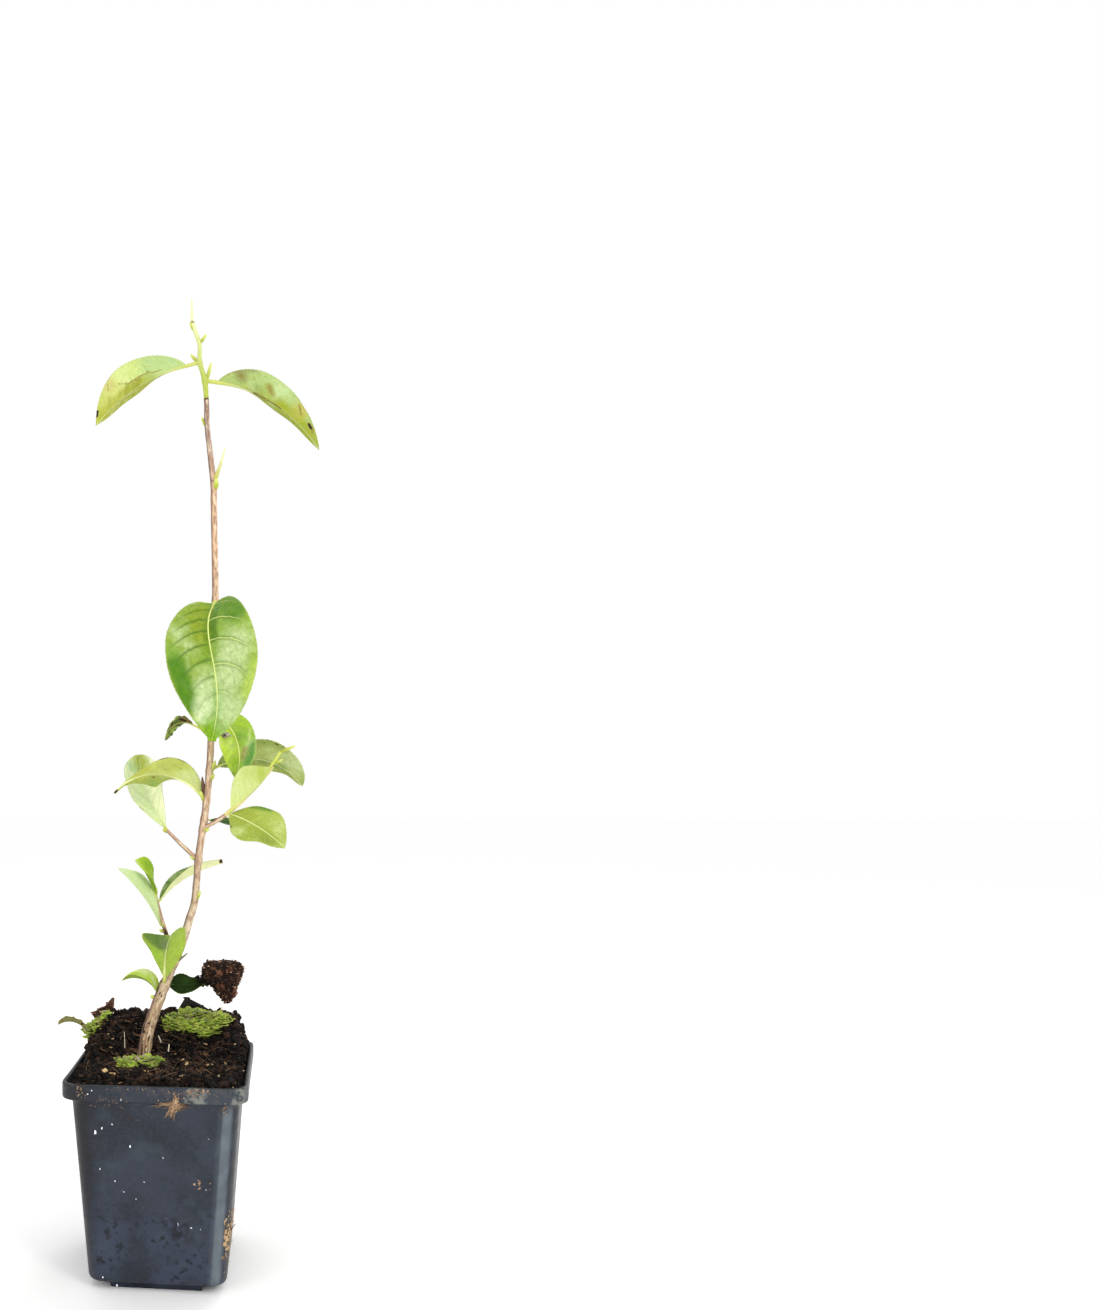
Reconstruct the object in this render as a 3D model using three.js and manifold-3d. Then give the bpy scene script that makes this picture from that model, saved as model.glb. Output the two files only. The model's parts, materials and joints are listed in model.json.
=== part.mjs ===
// A young tea plant in its square nursery pot.
// Millimetres and degrees, +Z up. The origin is the middle of the pot's flat underside.
// The plant leans to +X, and -Y is the front.
import * as THREE from 'three';
import Module from 'manifold-3d';

const wasm = await Module();
wasm.setup();

// Clearance between pieces that touch
const GAP = 0.3;

// Pot: a tapered square tub with a collar and corners raised off the ground
const POT_HEIGHT = 103.4;
const RIM_HALF = 45;
const RIM_CORNER = 8.5;
const COLLAR_HEIGHT = 7.6;
const BODY_TOP_HALF = 41;
const BODY_BOTTOM_HALF = 34.2;
const BODY_CORNER = 8;
const FOOT_HALF = 30.2;
const FOOT_RISE = 5.5;
const WALL = 1.4;
const RIM_ROUND = 0.6;
const FLOOR = 1.6;
const DRAIN_HOLE_RADIUS = 4;
const DRAIN_HOLE_OFFSET = 17;
const DRAIN_HOLE_SIDES = 16;
const POINTS_PER_CORNER = 5;
const POINTS_PER_SIDE = 6;

// Compost: level with the rim in front, heaped above it behind the stem
const SOIL_EDGE_FRONT = 100.5;
const SOIL_FRONT = 103;
const SOIL_BACK = 120;
const SOIL_EDGE_BACK = 107.5;
const SOIL_EDGE_TILT = 0.09;
const SOIL_SHOULDER = 9;
const SOIL_SLOPE_START = -3;
const SOIL_SLOPE_LENGTH = 30;
const SOIL_LEFT_LEAD = 7;
const SOIL_LEFT_FROM = 10;
const SOIL_LEFT_TO = 38;
const SOIL_LUMP = 1.3;
const SOIL_LUMP_X = { turns: 0.33, sway: 0.9, swayTurns: 0.17 };
const SOIL_LUMP_Y = { turns: 0.36, sway: 1.6, swayTurns: 0.21 };
const SOIL_RINGS = 11;
const SOIL_RING_CROWDING = 1.15;

// Moss cushions on the compost
const CUSHIONS = [
  { name: 'moss_foot', x: -11.5, y: -8.5, across: 10.5, deep: 7.5, thick: 2.2, lobes: 5 },
  { name: 'moss_back', x: 15.5, y: 21.5, across: 17, deep: 8, thick: 2.4, lobes: 4 },
  { name: 'moss_left', x: -39, y: 21, across: 6, deep: 8, thick: 2.6, lobes: 3 },
];
const CUSHION_SINK = 4;
const CUSHION_SIDES = 18;
const CUSHION_LOBE = 0.14;
const CUSHION_PROFILE = [
  { share: 1, lift: 0.15 },
  { share: 0.8, lift: 0.7 },
  { share: 0.45, lift: 1 },
];
const CUSHION_FOOT_SHARE = 0.9;

// A clod of compost on the tip of the low dark leaf
const CLOD_Y = 9;
const CLOD_DEPTH_SHARE = 0.62;
const CLOD_SIDES = 12;
const CLOD_BUMPS = 3;
const CLOD_BUMP = 0.1;
const CLOD_BUMP_TURN = 1.3;
const CLOD_RINGS = [
  { z: 131.8, x: 31.6, half: 1 },
  { z: 135, x: 32.2, half: 4 },
  { z: 140, x: 31.2, half: 6.8 },
  { z: 145, x: 29.6, half: 10.4 },
  { z: 149.5, x: 29.2, half: 11 },
  { z: 152.6, x: 29.4, half: 9.4 },
  { z: 153.6, x: 29.4, half: 6.4 },
];

// Stem: height, sideways and depth position and radius at each bend
const STEM_BENDS = [
  { z: 101, x: -12.4, y: 0, radius: 3.9 },
  { z: 106, x: -10.6, y: 0, radius: 3.4 },
  { z: 118, x: -8.5, y: 1, radius: 3.1 },
  { z: 128, x: -5.3, y: 1.5, radius: 3.0 },
  { z: 137, x: -1.9, y: 2, radius: 2.8 },
  { z: 147, x: 2.1, y: 2, radius: 2.4 },
  { z: 163, x: 8.8, y: 3, radius: 2.15 },
  { z: 177, x: 13.1, y: 3, radius: 2.05 },
  { z: 187, x: 15.8, y: 3, radius: 1.9 },
  { z: 210, x: 17.9, y: 2.5, radius: 1.85 },
  { z: 233, x: 21.4, y: 1, radius: 1.8 },
  { z: 257, x: 23.7, y: 0, radius: 1.75 },
  { z: 294, x: 25.4, y: -1, radius: 1.7 },
  { z: 340, x: 26.5, y: 0, radius: 1.7 },
  { z: 387, x: 25.6, y: 2, radius: 1.6 },
  { z: 401, x: 25.3, y: 2, radius: 1.6 },
  { z: 427, x: 22.4, y: 1, radius: 1.35 },
  { z: 442, x: 21.9, y: 0, radius: 1.3 },
];

// Green top shoot, from the stem's last bend to its tip
const SHOOT_BENDS = [
  STEM_BENDS[STEM_BENDS.length - 1],
  { z: 452, x: 21.1, y: 0, radius: 1.35 },
  { z: 461, x: 18.6, y: -1, radius: 1.2 },
  { z: 470, x: 18.4, y: -1, radius: 1.1 },
  { z: 481, x: 14.9, y: 0, radius: 1.2 },
  { z: 487, x: 14.5, y: 0, radius: 0.8 },
  { z: 493.4, x: 14.4, y: 0, radius: 0.35 },
];
const STEM_RING_STEP = 7;
const STEM_SIDES = 10;
const NODE_SWELL = 0.3;
const NODE_REACH = 2.2;
const HALVINGS = 30;

// Twigs: where each leaves the stem, its heading, rise, length and end radii
const TWIGS = [
  { name: 'twig_left', z: 207, heading: 161, rise: 38, bend: 4, length: 23.2, root: 1.2, tip: 0.85 },
  { name: 'twig_right', z: 223.4, heading: -31, rise: 23, bend: 8, length: 16, root: 1.2, tip: 1.0 },
  { name: 'twig_low', z: 156, heading: 149, rise: 60, bend: 12, length: 29.2, root: 1.25, tip: 0.95 },
];
const TWIG_SIDES = 8;
const TWIG_STEPS = 6;

// A bare young shoot high on the stem, and a short dry spur low on it
const SIDE_SHOOTS = [
  { name: 'side_shoot', z: 400.4, heading: -22, rise: 62, bend: 14, length: 18.5, root: 1.3, tip: 0.35 },
  { name: 'dry_spur', z: 153.6, heading: -20, rise: 30, bend: 12, length: 9.5, root: 0.9, tip: 0.3 },
];

// Green sprays on the tips of two twigs, with their buds
const SPRAYS = [
  { name: 'spray_right', twig: 'twig_right', heading: -17, rise: 39, bend: 17, length: 43,
    root: 1.15, tip: 0.6,
    buds: [
      { share: 1, heading: -9, rise: 21, length: 8, radius: 0.7 },
      { share: 0.84, heading: 10, rise: 22, length: 5, radius: 0.6 },
    ] },
  { name: 'spray_low', twig: 'twig_low', heading: 140, rise: 72, bend: 10, length: 5.5,
    root: 1, tip: 0.6,
    buds: [
      { share: 1, heading: 100, rise: 80, length: 4, radius: 0.6 },
    ] },
];
const SPRAY_STEPS = 8;
const BUD_SIDES = 6;
const BUD_ROOT_SHARE = 0.7;
const BUD_TIP_SHARE = 0.2;
const TOP_BUDS = [
  { z: 460.8, heading: 160, rise: 50, length: 7, radius: 0.75 },
  { z: 451.9, heading: 5, rise: 76, length: 9.5, radius: 0.8 },
  { z: 471, heading: -10, rise: 52, length: 5, radius: 0.75 },
];

// Colours
const LEAF_GREEN = 0x8fae4a;
const LEAF_PALE = 0xbcd27a;
const LEAF_DARK = 0x2c3f1c;
const LEAF_WITHERED = 0x6d6a35;
const SHOOT_GREEN = 0xc8d45a;
const BARK = 0xa98a6c;
const MOSS_GREEN = 0x6f8a2e;
const COMPOST = 0x2a1c14;
const POT_PLASTIC = 0x2b3038;

// Leaves, each with the height of its joint, or the twig or spray and the share of its length
// where it grows.
// heading: compass direction of the midrib, 0 along +X and 90 along +Y. rise: its slope at the
// joint. droop, turn and twist: how far slope, heading and roll change by the tip. fold: how far
// each half is raised. widest: where the blade is widest. base and tip: below 1 is rounded there.
const LEAVES = [
  { name: 'leaf_top_left', z: 460.8, petiole: 7, length: 56, width: 25, heading: 186, rise: -14,
    droop: 37, turn: -6, roll: 20, twist: 22, fold: 41, widest: 0.53, base: 0.68, tip: 1 },
  { name: 'leaf_top_right', z: 451.9, petiole: 7, length: 67, width: 28, heading: 28, rise: 2,
    droop: 55, turn: -6, roll: -28, twist: -21, fold: 57, widest: 0.46, base: 0.75, tip: 0.9 },
  { name: 'leaf_big_front', z: 339.6, petiole: 3.5, length: 82, width: 47, heading: -94, rise: -30,
    droop: 78, turn: 29, roll: 8, twist: 6, fold: 23, widest: 0.5, base: 0.58, tip: 0.83 },
  { name: 'leaf_back_middle', z: 318, petiole: 4, length: 46, width: 21, heading: 97, rise: 34,
    droop: 66, turn: 12, roll: 8, twist: -12, fold: 22, widest: 0.48, base: 0.8, tip: 1 },
  { name: 'leaf_right_hang', z: 283, petiole: 4, length: 39, width: 23, heading: -15, rise: -33,
    droop: 82, turn: -19, roll: 57, twist: 7, fold: 38, widest: 0.5, base: 0.6, tip: 0.93 },
  { name: 'leaf_curled', z: 271.4, petiole: 11, length: 20, width: 8, heading: 172, rise: 29,
    droop: 114, turn: 0, roll: 20, twist: 60, fold: 58, widest: 0.45, base: 0.7, tip: 0.9,
    color: LEAF_WITHERED },
  { name: 'leaf_right_reach', z: 253, petiole: 5, length: 49, width: 25, heading: 8, rise: 29,
    droop: 84, turn: 7, roll: -48, twist: 26, fold: 13, widest: 0.52, base: 0.7, tip: 0.8 },
  { name: 'leaf_arch_left', z: 237.4, petiole: 4, length: 52, width: 27, heading: 192, rise: 49,
    droop: 95, turn: -28, roll: 58, twist: 44, fold: 60, widest: 0.39, base: 0.8, tip: 2.1 },
  { name: 'leaf_back_right', z: 228, petiole: 3, length: 32, width: 15, heading: 38, rise: -5,
    droop: 20, turn: 8, roll: -14, twist: 10, fold: 12, widest: 0.48, base: 0.8, tip: 1,
    color: LEAF_DARK },
  { name: 'leaf_cup_front', z: 141.5, petiole: 4, length: 34, width: 27.5, heading: -82, rise: 76,
    droop: 47, turn: 15, roll: -26, twist: 44, fold: 34, widest: 0.69, base: 1.1, tip: 1.25 },
  { name: 'leaf_arch_low', z: 135.4, petiole: 2.6, length: 22.5, width: 12, heading: 182, rise: 67,
    droop: 99, turn: -3, roll: -33, twist: 39, fold: 36, widest: 0.43, base: 1, tip: 0.95 },
  { name: 'leaf_dark_low', z: 142.6, petiole: 1.5, length: 20, width: 13, heading: 20, rise: -5,
    droop: -9, turn: -17, roll: 53, twist: -31, fold: 6, widest: 0.42, base: 0.72, tip: 1.05,
    color: LEAF_DARK },
  { name: 'leaf_left_pale', twig: 'twig_left', share: 1, petiole: 1.6, length: 54.5, width: 29,
    heading: 138, rise: 41, droop: -11, turn: -36, roll: -43, twist: 36, fold: 49, widest: 0.54,
    base: 0.85, tip: 0.74, color: LEAF_PALE },
  { name: 'leaf_low_pale', twig: 'twig_low', share: 0.6, petiole: 1.8, length: 37, width: 22,
    heading: 201, rise: 65, droop: 24, turn: -22, roll: -12, twist: 1, fold: 20, widest: 0.55,
    base: 1.05, tip: 0.8, color: LEAF_PALE },
  { name: 'leaf_decayed', at: { x: -41.5, y: 15, z: 110 }, petiole: 3, length: 19, width: 5.5,
    heading: 178, rise: 62, droop: 96, turn: 0, roll: 24, twist: 20, fold: 50, widest: 0.6,
    base: 0.8, tip: 0.5, color: LEAF_WITHERED },
  { spray: 'spray_right', share: 0.04, petiole: 2.3, length: 37, width: 26, heading: -30, rise: 32,
    droop: -8, turn: -28, roll: -11, twist: -5, fold: 57, widest: 0.53, base: 0.8, tip: 1.3 },
  { spray: 'spray_right', share: 0.03, petiole: 1.8, length: 36.5, width: 28, heading: -37, rise: -12,
    droop: 28, turn: 10, roll: 34, twist: -6, fold: 4, widest: 0.5, base: 0.7, tip: 0.9 },
  { spray: 'spray_low', share: 0.8, petiole: 2, length: 21.5, width: 13, heading: 200, rise: 70,
    droop: 16, turn: -34, roll: 8, twist: -31, fold: 10, widest: 0.55, base: 0.76, tip: 0.72 },
  { spray: 'spray_low', share: 0.25, petiole: 1.7, length: 41, width: 13, heading: 43, rise: 42,
    droop: 29, turn: -39, roll: 0, twist: -12, fold: 41, widest: 0.46, base: 0.85, tip: 0.74 },
];
const PETIOLE_RADIUS_SHARE = 0.017;
const PETIOLE_RADIUS_MIN = 0.6;
const PETIOLE_RUN_IN = 0.3;
const PETIOLE_TAPER = 0.7;
const PETIOLE_SIDES = 6;
const LEAF_THICKNESS_SHARE = 0.0125;
const LEAF_THICKNESS_MIN = 0.5;
const LEAF_STATIONS = 12;
const BLADE_END_HALF = 0.45;

const rad = THREE.MathUtils.degToRad;
const smooth = (from, to, v) => THREE.MathUtils.smoothstep(v, from, to);

// Solids

// A closed skin over rings of equal point counts, walked anticlockwise seen from the last ring
function loft(rings) {
  const count = rings[0].length;
  const points = rings.flat();
  const index = [];
  for (let r = 0; r < rings.length - 1; r++) {
    for (let k = 0; k < count; k++) {
      const a = r * count + k;
      const b = r * count + ((k + 1) % count);
      index.push(a, b, b + count);
      index.push(a, b + count, a + count);
    }
  }
  const last = (rings.length - 1) * count;
  const start = points.push(middle(rings[0])) - 1;
  const end = points.push(middle(rings[rings.length - 1])) - 1;
  for (let k = 0; k < count; k++) {
    const next = (k + 1) % count;
    index.push(start, next, k);
    index.push(end, last + k, last + next);
  }
  return new wasm.Manifold(new wasm.Mesh({
    numProp: 3,
    vertProperties: new Float32Array(points.flatMap((p) => [p.x, p.y, p.z])),
    triVerts: new Uint32Array(index),
  }));
}

function middle(ring) {
  const sum = new THREE.Vector3();
  ring.forEach((p) => sum.add(p));
  return sum.divideScalar(ring.length);
}

// A three.js geometry as a solid, with its shared corners merged
function solidOf(geometry) {
  const seen = new Map();
  const vertices = [];
  const position = geometry.getAttribute('position');
  const corner = [];
  for (let i = 0; i < position.count; i++) {
    const p = [position.getX(i), position.getY(i), position.getZ(i)];
    const key = p.map((v) => v.toFixed(4)).join(' ');
    if (!seen.has(key)) {
      seen.set(key, vertices.length / 3);
      vertices.push(...p);
    }
    corner.push(seen.get(key));
  }
  const order = geometry.index ? Array.from(geometry.index.array) : corner.map((_, i) => i);
  const triangles = [];
  for (let i = 0; i < order.length; i += 3) {
    const [a, b, c] = [corner[order[i]], corner[order[i + 1]], corner[order[i + 2]]];
    if (a !== b && b !== c && c !== a) {
      triangles.push(a, b, c);
    }
  }
  return new wasm.Manifold(new wasm.Mesh({
    numProp: 3,
    vertProperties: new Float32Array(vertices),
    triVerts: new Uint32Array(triangles),
  }));
}

// The largest piece of a solid that a cut may have split
function largest(solid) {
  const pieces = solid.decompose();
  return pieces.reduce((best, piece) => (piece.volume() > best.volume() ? piece : best));
}

function geometryOf(solid) {
  const mesh = solid.getMesh();
  const geometry = new THREE.BufferGeometry();
  geometry.setAttribute('position', new THREE.BufferAttribute(new Float32Array(mesh.vertProperties), 3));
  geometry.setIndex(new THREE.BufferAttribute(new Uint32Array(mesh.triVerts), 1));
  geometry.computeVertexNormals();
  return geometry;
}

const plant = new THREE.Group();

function addPart(name, solid, color, roughness) {
  const material = new THREE.MeshStandardMaterial({ color, roughness, metalness: 0 });
  const mesh = new THREE.Mesh(geometryOf(solid), material);
  mesh.name = name;
  plant.add(mesh);
}

// Curves

// A smooth curve through points, with a value t from 0 to points.length - 1
function splinePoint(points, t) {
  const last = points.length - 1;
  const i = Math.min(Math.floor(t), last - 1);
  const u = t - i;
  const before = points[Math.max(i - 1, 0)];
  const from = points[i];
  const to = points[i + 1];
  const after = points[Math.min(i + 2, last)];
  const blend = (a, b, c, d) => 0.5 * (2 * b + (c - a) * u
    + (2 * a - 5 * b + 4 * c - d) * u * u + (3 * b - a - 3 * c + d) * u * u * u);
  return {
    x: blend(before.x, from.x, to.x, after.x),
    y: blend(before.y, from.y, to.y, after.y),
    z: blend(before.z, from.z, to.z, after.z),
    radius: from.radius + (to.radius - from.radius) * u,
  };
}

// Points about one step apart along a list of bends
function walk(bends, step) {
  const line = [];
  for (let i = 0; i < bends.length - 1; i++) {
    const span = Math.hypot(bends[i + 1].x - bends[i].x, bends[i + 1].y - bends[i].y,
      bends[i + 1].z - bends[i].z);
    const parts = Math.max(1, Math.round(span / step));
    for (let k = 0; k < parts; k++) {
      line.push(splinePoint(bends, i + k / parts));
    }
  }
  line.push({ ...bends[bends.length - 1] });
  return line;
}

// A tube of changing radius along a line of points
function tube(line, sides, grow = 0) {
  const at = line.map((p) => new THREE.Vector3(p.x, p.y, p.z));
  const rings = at.map((centre, i) => {
    const along = at[Math.min(i + 1, at.length - 1)].clone().sub(at[Math.max(i - 1, 0)]).normalize();
    const side = new THREE.Vector3(0, 1, 0).addScaledVector(along, -along.y).normalize();
    const other = along.clone().cross(side);
    const ring = [];
    for (let k = 0; k < sides; k++) {
      const angle = (2 * Math.PI * k) / sides;
      ring.push(centre.clone()
        .addScaledVector(side, Math.cos(angle) * (line[i].radius + grow))
        .addScaledVector(other, Math.sin(angle) * (line[i].radius + grow)));
    }
    return ring;
  });
  return loft(rings);
}

// The point of a list of bends at one height
function atHeight(bends, z) {
  const i = bends.findIndex((bend, k) => k < bends.length - 1 && z <= bends[k + 1].z);
  let low = i;
  let high = i + 1;
  for (let pass = 0; pass < HALVINGS; pass++) {
    const half = (low + high) / 2;
    if (splinePoint(bends, half).z < z) {
      low = half;
    } else {
      high = half;
    }
  }
  return splinePoint(bends, low);
}

// A run from a point that starts at a heading and rise and bends by some degrees towards its end
function run(start, { heading, rise, bend = 0, length, root, tip }, steps) {
  const line = [{ ...start, radius: root }];
  let { x, y, z } = start;
  for (let i = 0; i < steps; i++) {
    const pitch = rad(rise + (bend * (i + 0.5)) / steps);
    x += (Math.cos(pitch) * Math.cos(rad(heading)) * length) / steps;
    y += (Math.cos(pitch) * Math.sin(rad(heading)) * length) / steps;
    z += (Math.sin(pitch) * length) / steps;
    line.push({ x, y, z, radius: root + ((tip - root) * (i + 1)) / steps });
  }
  return line;
}

const endOf = (line) => line[line.length - 1];

// A place a share of the way along a line of points
function alongLine(line, share) {
  const t = share * (line.length - 1);
  const i = Math.min(Math.floor(t), line.length - 2);
  const mix = (key) => line[i][key] + (line[i + 1][key] - line[i][key]) * (t - i);
  return { x: mix('x'), y: mix('y'), z: mix('z'), radius: mix('radius') };
}

// The point some way beyond a line's last one, straight on
function beyond(line, by) {
  const [before, last] = line.slice(-2);
  const share = by / Math.hypot(last.x - before.x, last.y - before.y, last.z - before.z);
  const on = (key) => last[key] + (last[key] - before[key]) * share;
  return { x: on('x'), y: on('y'), z: on('z'), radius: last.radius };
}

// The same line with its first end moved on along its own direction
function trimmed(line, by) {
  const [first, second] = line;
  const share = by / Math.hypot(second.x - first.x, second.y - first.y, second.z - first.z);
  const mix = (a, b) => a + (b - a) * share;
  const start = { x: mix(first.x, second.x), y: mix(first.y, second.y), z: mix(first.z, second.z),
    radius: first.radius };
  return [start, ...line.slice(1)];
}

// Leaves

// The directions of a blade a share s of the way from its base to its tip
function leafFrame(leaf, s) {
  const pitch = rad(leaf.rise - leaf.droop * s);
  const heading = rad(leaf.heading + leaf.turn * s);
  const roll = rad(leaf.roll + leaf.twist * s);
  const along = new THREE.Vector3(Math.cos(pitch) * Math.cos(heading),
    Math.cos(pitch) * Math.sin(heading), Math.sin(pitch));
  const level = new THREE.Vector3(-Math.sin(heading), Math.cos(heading), 0);
  const up = along.clone().cross(level);
  const side = level.clone().multiplyScalar(Math.cos(roll)).addScaledVector(up, Math.sin(roll));
  const face = up.clone().multiplyScalar(Math.cos(roll)).addScaledVector(level, -Math.sin(roll));
  return { along, side, face };
}

// Half the blade's width a share s of the way to its tip
function leafHalfWidth(leaf, s) {
  const before = s < leaf.widest;
  const share = before ? s / leaf.widest : (1 - s) / (1 - leaf.widest);
  const shape = Math.sin((Math.PI / 2) * share) ** (before ? leaf.base : leaf.tip);
  return Math.max(BLADE_END_HALF, (leaf.width / 2) * shape);
}

// A leaf from a point on its carrier's middle line: a petiole that runs on as a midrib, and a
// blade folded up along it
function leafSolid(leaf, start, grow = 0) {
  const thickness = Math.max(LEAF_THICKNESS_MIN, leaf.length * LEAF_THICKNESS_SHARE) + 2 * grow;
  const petioleRadius = Math.max(PETIOLE_RADIUS_MIN, leaf.length * PETIOLE_RADIUS_SHARE) + grow;
  const first = leafFrame(leaf, 0).along;
  const point = new THREE.Vector3(start.x, start.y, start.z);
  const stalk = [{ x: point.x, y: point.y, z: point.z, radius: petioleRadius }];
  point.addScaledVector(first, leaf.petiole);
  const rings = [];
  const cosFold = Math.cos(rad(leaf.fold));
  const sinFold = Math.sin(rad(leaf.fold));
  for (let i = 0; i <= LEAF_STATIONS; i++) {
    const s = i / LEAF_STATIONS;
    const { side, face } = leafFrame(leaf, s);
    const half = leafHalfWidth(leaf, s);
    const ring = [];
    const put = (t, surface) => {
      const away = Math.sign(t);
      const lift = t === 0 ? 1 / cosFold : cosFold;
      ring.push(point.clone()
        .addScaledVector(side, half * t * cosFold - (away * sinFold * surface * thickness) / 2)
        .addScaledVector(face, half * Math.abs(t) * sinFold + (lift * surface * thickness) / 2));
    };
    [1, 0.5, 0, -0.5, -1].forEach((t) => put(t, 1));
    [-1, -0.5, 0, 0.5, 1].forEach((t) => put(t, -1));
    rings.push(ring);
    if (s <= PETIOLE_RUN_IN) {
      const taper = petioleRadius * (1 - (PETIOLE_TAPER * s) / PETIOLE_RUN_IN);
      stalk.push({ x: point.x, y: point.y, z: point.z, radius: taper });
    }
    point.addScaledVector(leafFrame(leaf, (i + 0.5) / LEAF_STATIONS).along, leaf.length / LEAF_STATIONS);
  }
  return loft(rings).add(tube(stalk, PETIOLE_SIDES));
}

// A pointed bud at a point
function budSolid(start, { heading, rise, length, radius }) {
  const ends = { root: radius * BUD_ROOT_SHARE, tip: radius * BUD_TIP_SHARE };
  const line = run(start, { heading, rise, length, ...ends }, 3);
  line[1].radius = radius;
  return tube(line, BUD_SIDES);
}

// The pot and what fills it

// A square ring with rounded corners, anticlockwise seen from above
function squareRing(half, corner, heightAt) {
  const ring = [];
  const straight = half - corner;
  for (let quarter = 0; quarter < 4; quarter++) {
    const turn = (quarter * Math.PI) / 2;
    const place = (u, v) => {
      const x = u * Math.cos(turn) - v * Math.sin(turn);
      const y = u * Math.sin(turn) + v * Math.cos(turn);
      ring.push(new THREE.Vector3(x, y, heightAt(x, y)));
    };
    for (let k = 0; k < POINTS_PER_SIDE; k++) {
      place(half, straight * ((2 * k) / POINTS_PER_SIDE - 1));
    }
    for (let k = 0; k < POINTS_PER_CORNER; k++) {
      const angle = ((k / POINTS_PER_CORNER) * Math.PI) / 2;
      place(straight + corner * Math.cos(angle), straight + corner * Math.sin(angle));
    }
  }
  return ring;
}

const flatRing = (half, corner, z) => squareRing(half, corner, () => z);

const COLLAR_FOOT = POT_HEIGHT - COLLAR_HEIGHT;
const POCKET_CORNER = BODY_CORNER - WALL;
const POCKET_HALF = RIM_HALF - RIM_ROUND - WALL;

function pot() {
  const skin = loft([
    flatRing(FOOT_HALF, BODY_CORNER, 0),
    flatRing(BODY_BOTTOM_HALF, BODY_CORNER, FOOT_RISE),
    flatRing(BODY_TOP_HALF, BODY_CORNER, COLLAR_FOOT - RIM_ROUND),
    flatRing(RIM_HALF - RIM_ROUND, RIM_CORNER, COLLAR_FOOT),
    flatRing(RIM_HALF, RIM_CORNER, POT_HEIGHT - RIM_ROUND),
    flatRing(RIM_HALF - RIM_ROUND, RIM_CORNER, POT_HEIGHT),
    flatRing(POCKET_HALF, RIM_CORNER - WALL, POT_HEIGHT),
    flatRing(POCKET_HALF - RIM_ROUND, RIM_CORNER - WALL, COLLAR_FOOT + WALL),
    flatRing(BODY_TOP_HALF - WALL, POCKET_CORNER, COLLAR_FOOT - RIM_ROUND + WALL),
    flatRing(BODY_BOTTOM_HALF - WALL, POCKET_CORNER, FOOT_RISE + WALL),
    flatRing(FOOT_HALF - WALL, POCKET_CORNER, FLOOR),
  ]);
  const bit = new THREE.CylinderGeometry(DRAIN_HOLE_RADIUS, DRAIN_HOLE_RADIUS, 4 * FLOOR,
    DRAIN_HOLE_SIDES);
  bit.rotateX(Math.PI / 2);
  let drained = skin;
  for (const x of [-DRAIN_HOLE_OFFSET, DRAIN_HOLE_OFFSET]) {
    for (const y of [-DRAIN_HOLE_OFFSET, DRAIN_HOLE_OFFSET]) {
      drained = drained.subtract(solidOf(bit.clone().translate(x, y, 0)));
    }
  }
  return drained;
}

// Height of the compost's surface: a shoulder along the walls, a slope up behind the stem that
// starts further forward on the left, and lumps
function soilHeight(x, y) {
  const fromWall = POCKET_HALF - Math.max(Math.abs(x), Math.abs(y));
  const inward = smooth(0, SOIL_SHOULDER, fromWall);
  const slopeStart = SOIL_SLOPE_START - SOIL_LEFT_LEAD * smooth(SOIL_LEFT_FROM, SOIL_LEFT_TO, -x);
  const back = smooth(slopeStart, slopeStart + SOIL_SLOPE_LENGTH, y);
  const edge = SOIL_EDGE_FRONT + (SOIL_EDGE_BACK - SOIL_EDGE_FRONT - SOIL_EDGE_TILT * x) * back;
  const crown = SOIL_FRONT + (SOIL_BACK - SOIL_FRONT) * back;
  const swayedX = x * SOIL_LUMP_X.turns + SOIL_LUMP_Y.sway * Math.cos(y * SOIL_LUMP_Y.swayTurns);
  const swayedY = y * SOIL_LUMP_Y.turns + SOIL_LUMP_X.sway * Math.sin(x * SOIL_LUMP_X.swayTurns);
  const lumps = Math.sin(swayedX) * Math.cos(swayedY);
  return edge + (crown - edge + SOIL_LUMP * lumps) * inward;
}

function soil() {
  const rings = [
    flatRing(FOOT_HALF - WALL - GAP, POCKET_CORNER, FLOOR + GAP),
    flatRing(BODY_BOTTOM_HALF - WALL - GAP, POCKET_CORNER, FOOT_RISE + WALL + GAP),
    flatRing(BODY_TOP_HALF - WALL - GAP, POCKET_CORNER, COLLAR_FOOT - RIM_ROUND + WALL + GAP),
    flatRing(POCKET_HALF - RIM_ROUND - GAP, RIM_CORNER - WALL, COLLAR_FOOT + WALL + 2 * GAP),
    squareRing(POCKET_HALF - RIM_ROUND - GAP, RIM_CORNER - WALL, soilHeight),
  ];
  for (let k = 1; k < SOIL_RINGS; k++) {
    const share = 1 - (k / SOIL_RINGS) ** SOIL_RING_CROWDING;
    rings.push(squareRing((POCKET_HALF - RIM_ROUND - GAP) * share, RIM_CORNER * share, soilHeight));
  }
  return loft(rings);
}

// A low lobed cushion that lies on the compost: rings by share of its reach and of its thickness
function cushion({ x, y, across, deep, thick, lobes }) {
  const foot = { share: CUSHION_FOOT_SHARE, lift: -CUSHION_SINK / thick };
  const rings = [foot, ...CUSHION_PROFILE].map(({ share, lift }) => {
    const ring = [];
    for (let k = 0; k < CUSHION_SIDES; k++) {
      const angle = (2 * Math.PI * k) / CUSHION_SIDES;
      const reach = share * (1 + CUSHION_LOBE * Math.sin(lobes * angle));
      const px = x + across * reach * Math.cos(angle);
      const py = y + deep * reach * Math.sin(angle);
      ring.push(new THREE.Vector3(px, py, soilHeight(px, py) + thick * lift));
    }
    return ring;
  });
  return loft(rings);
}

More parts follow.
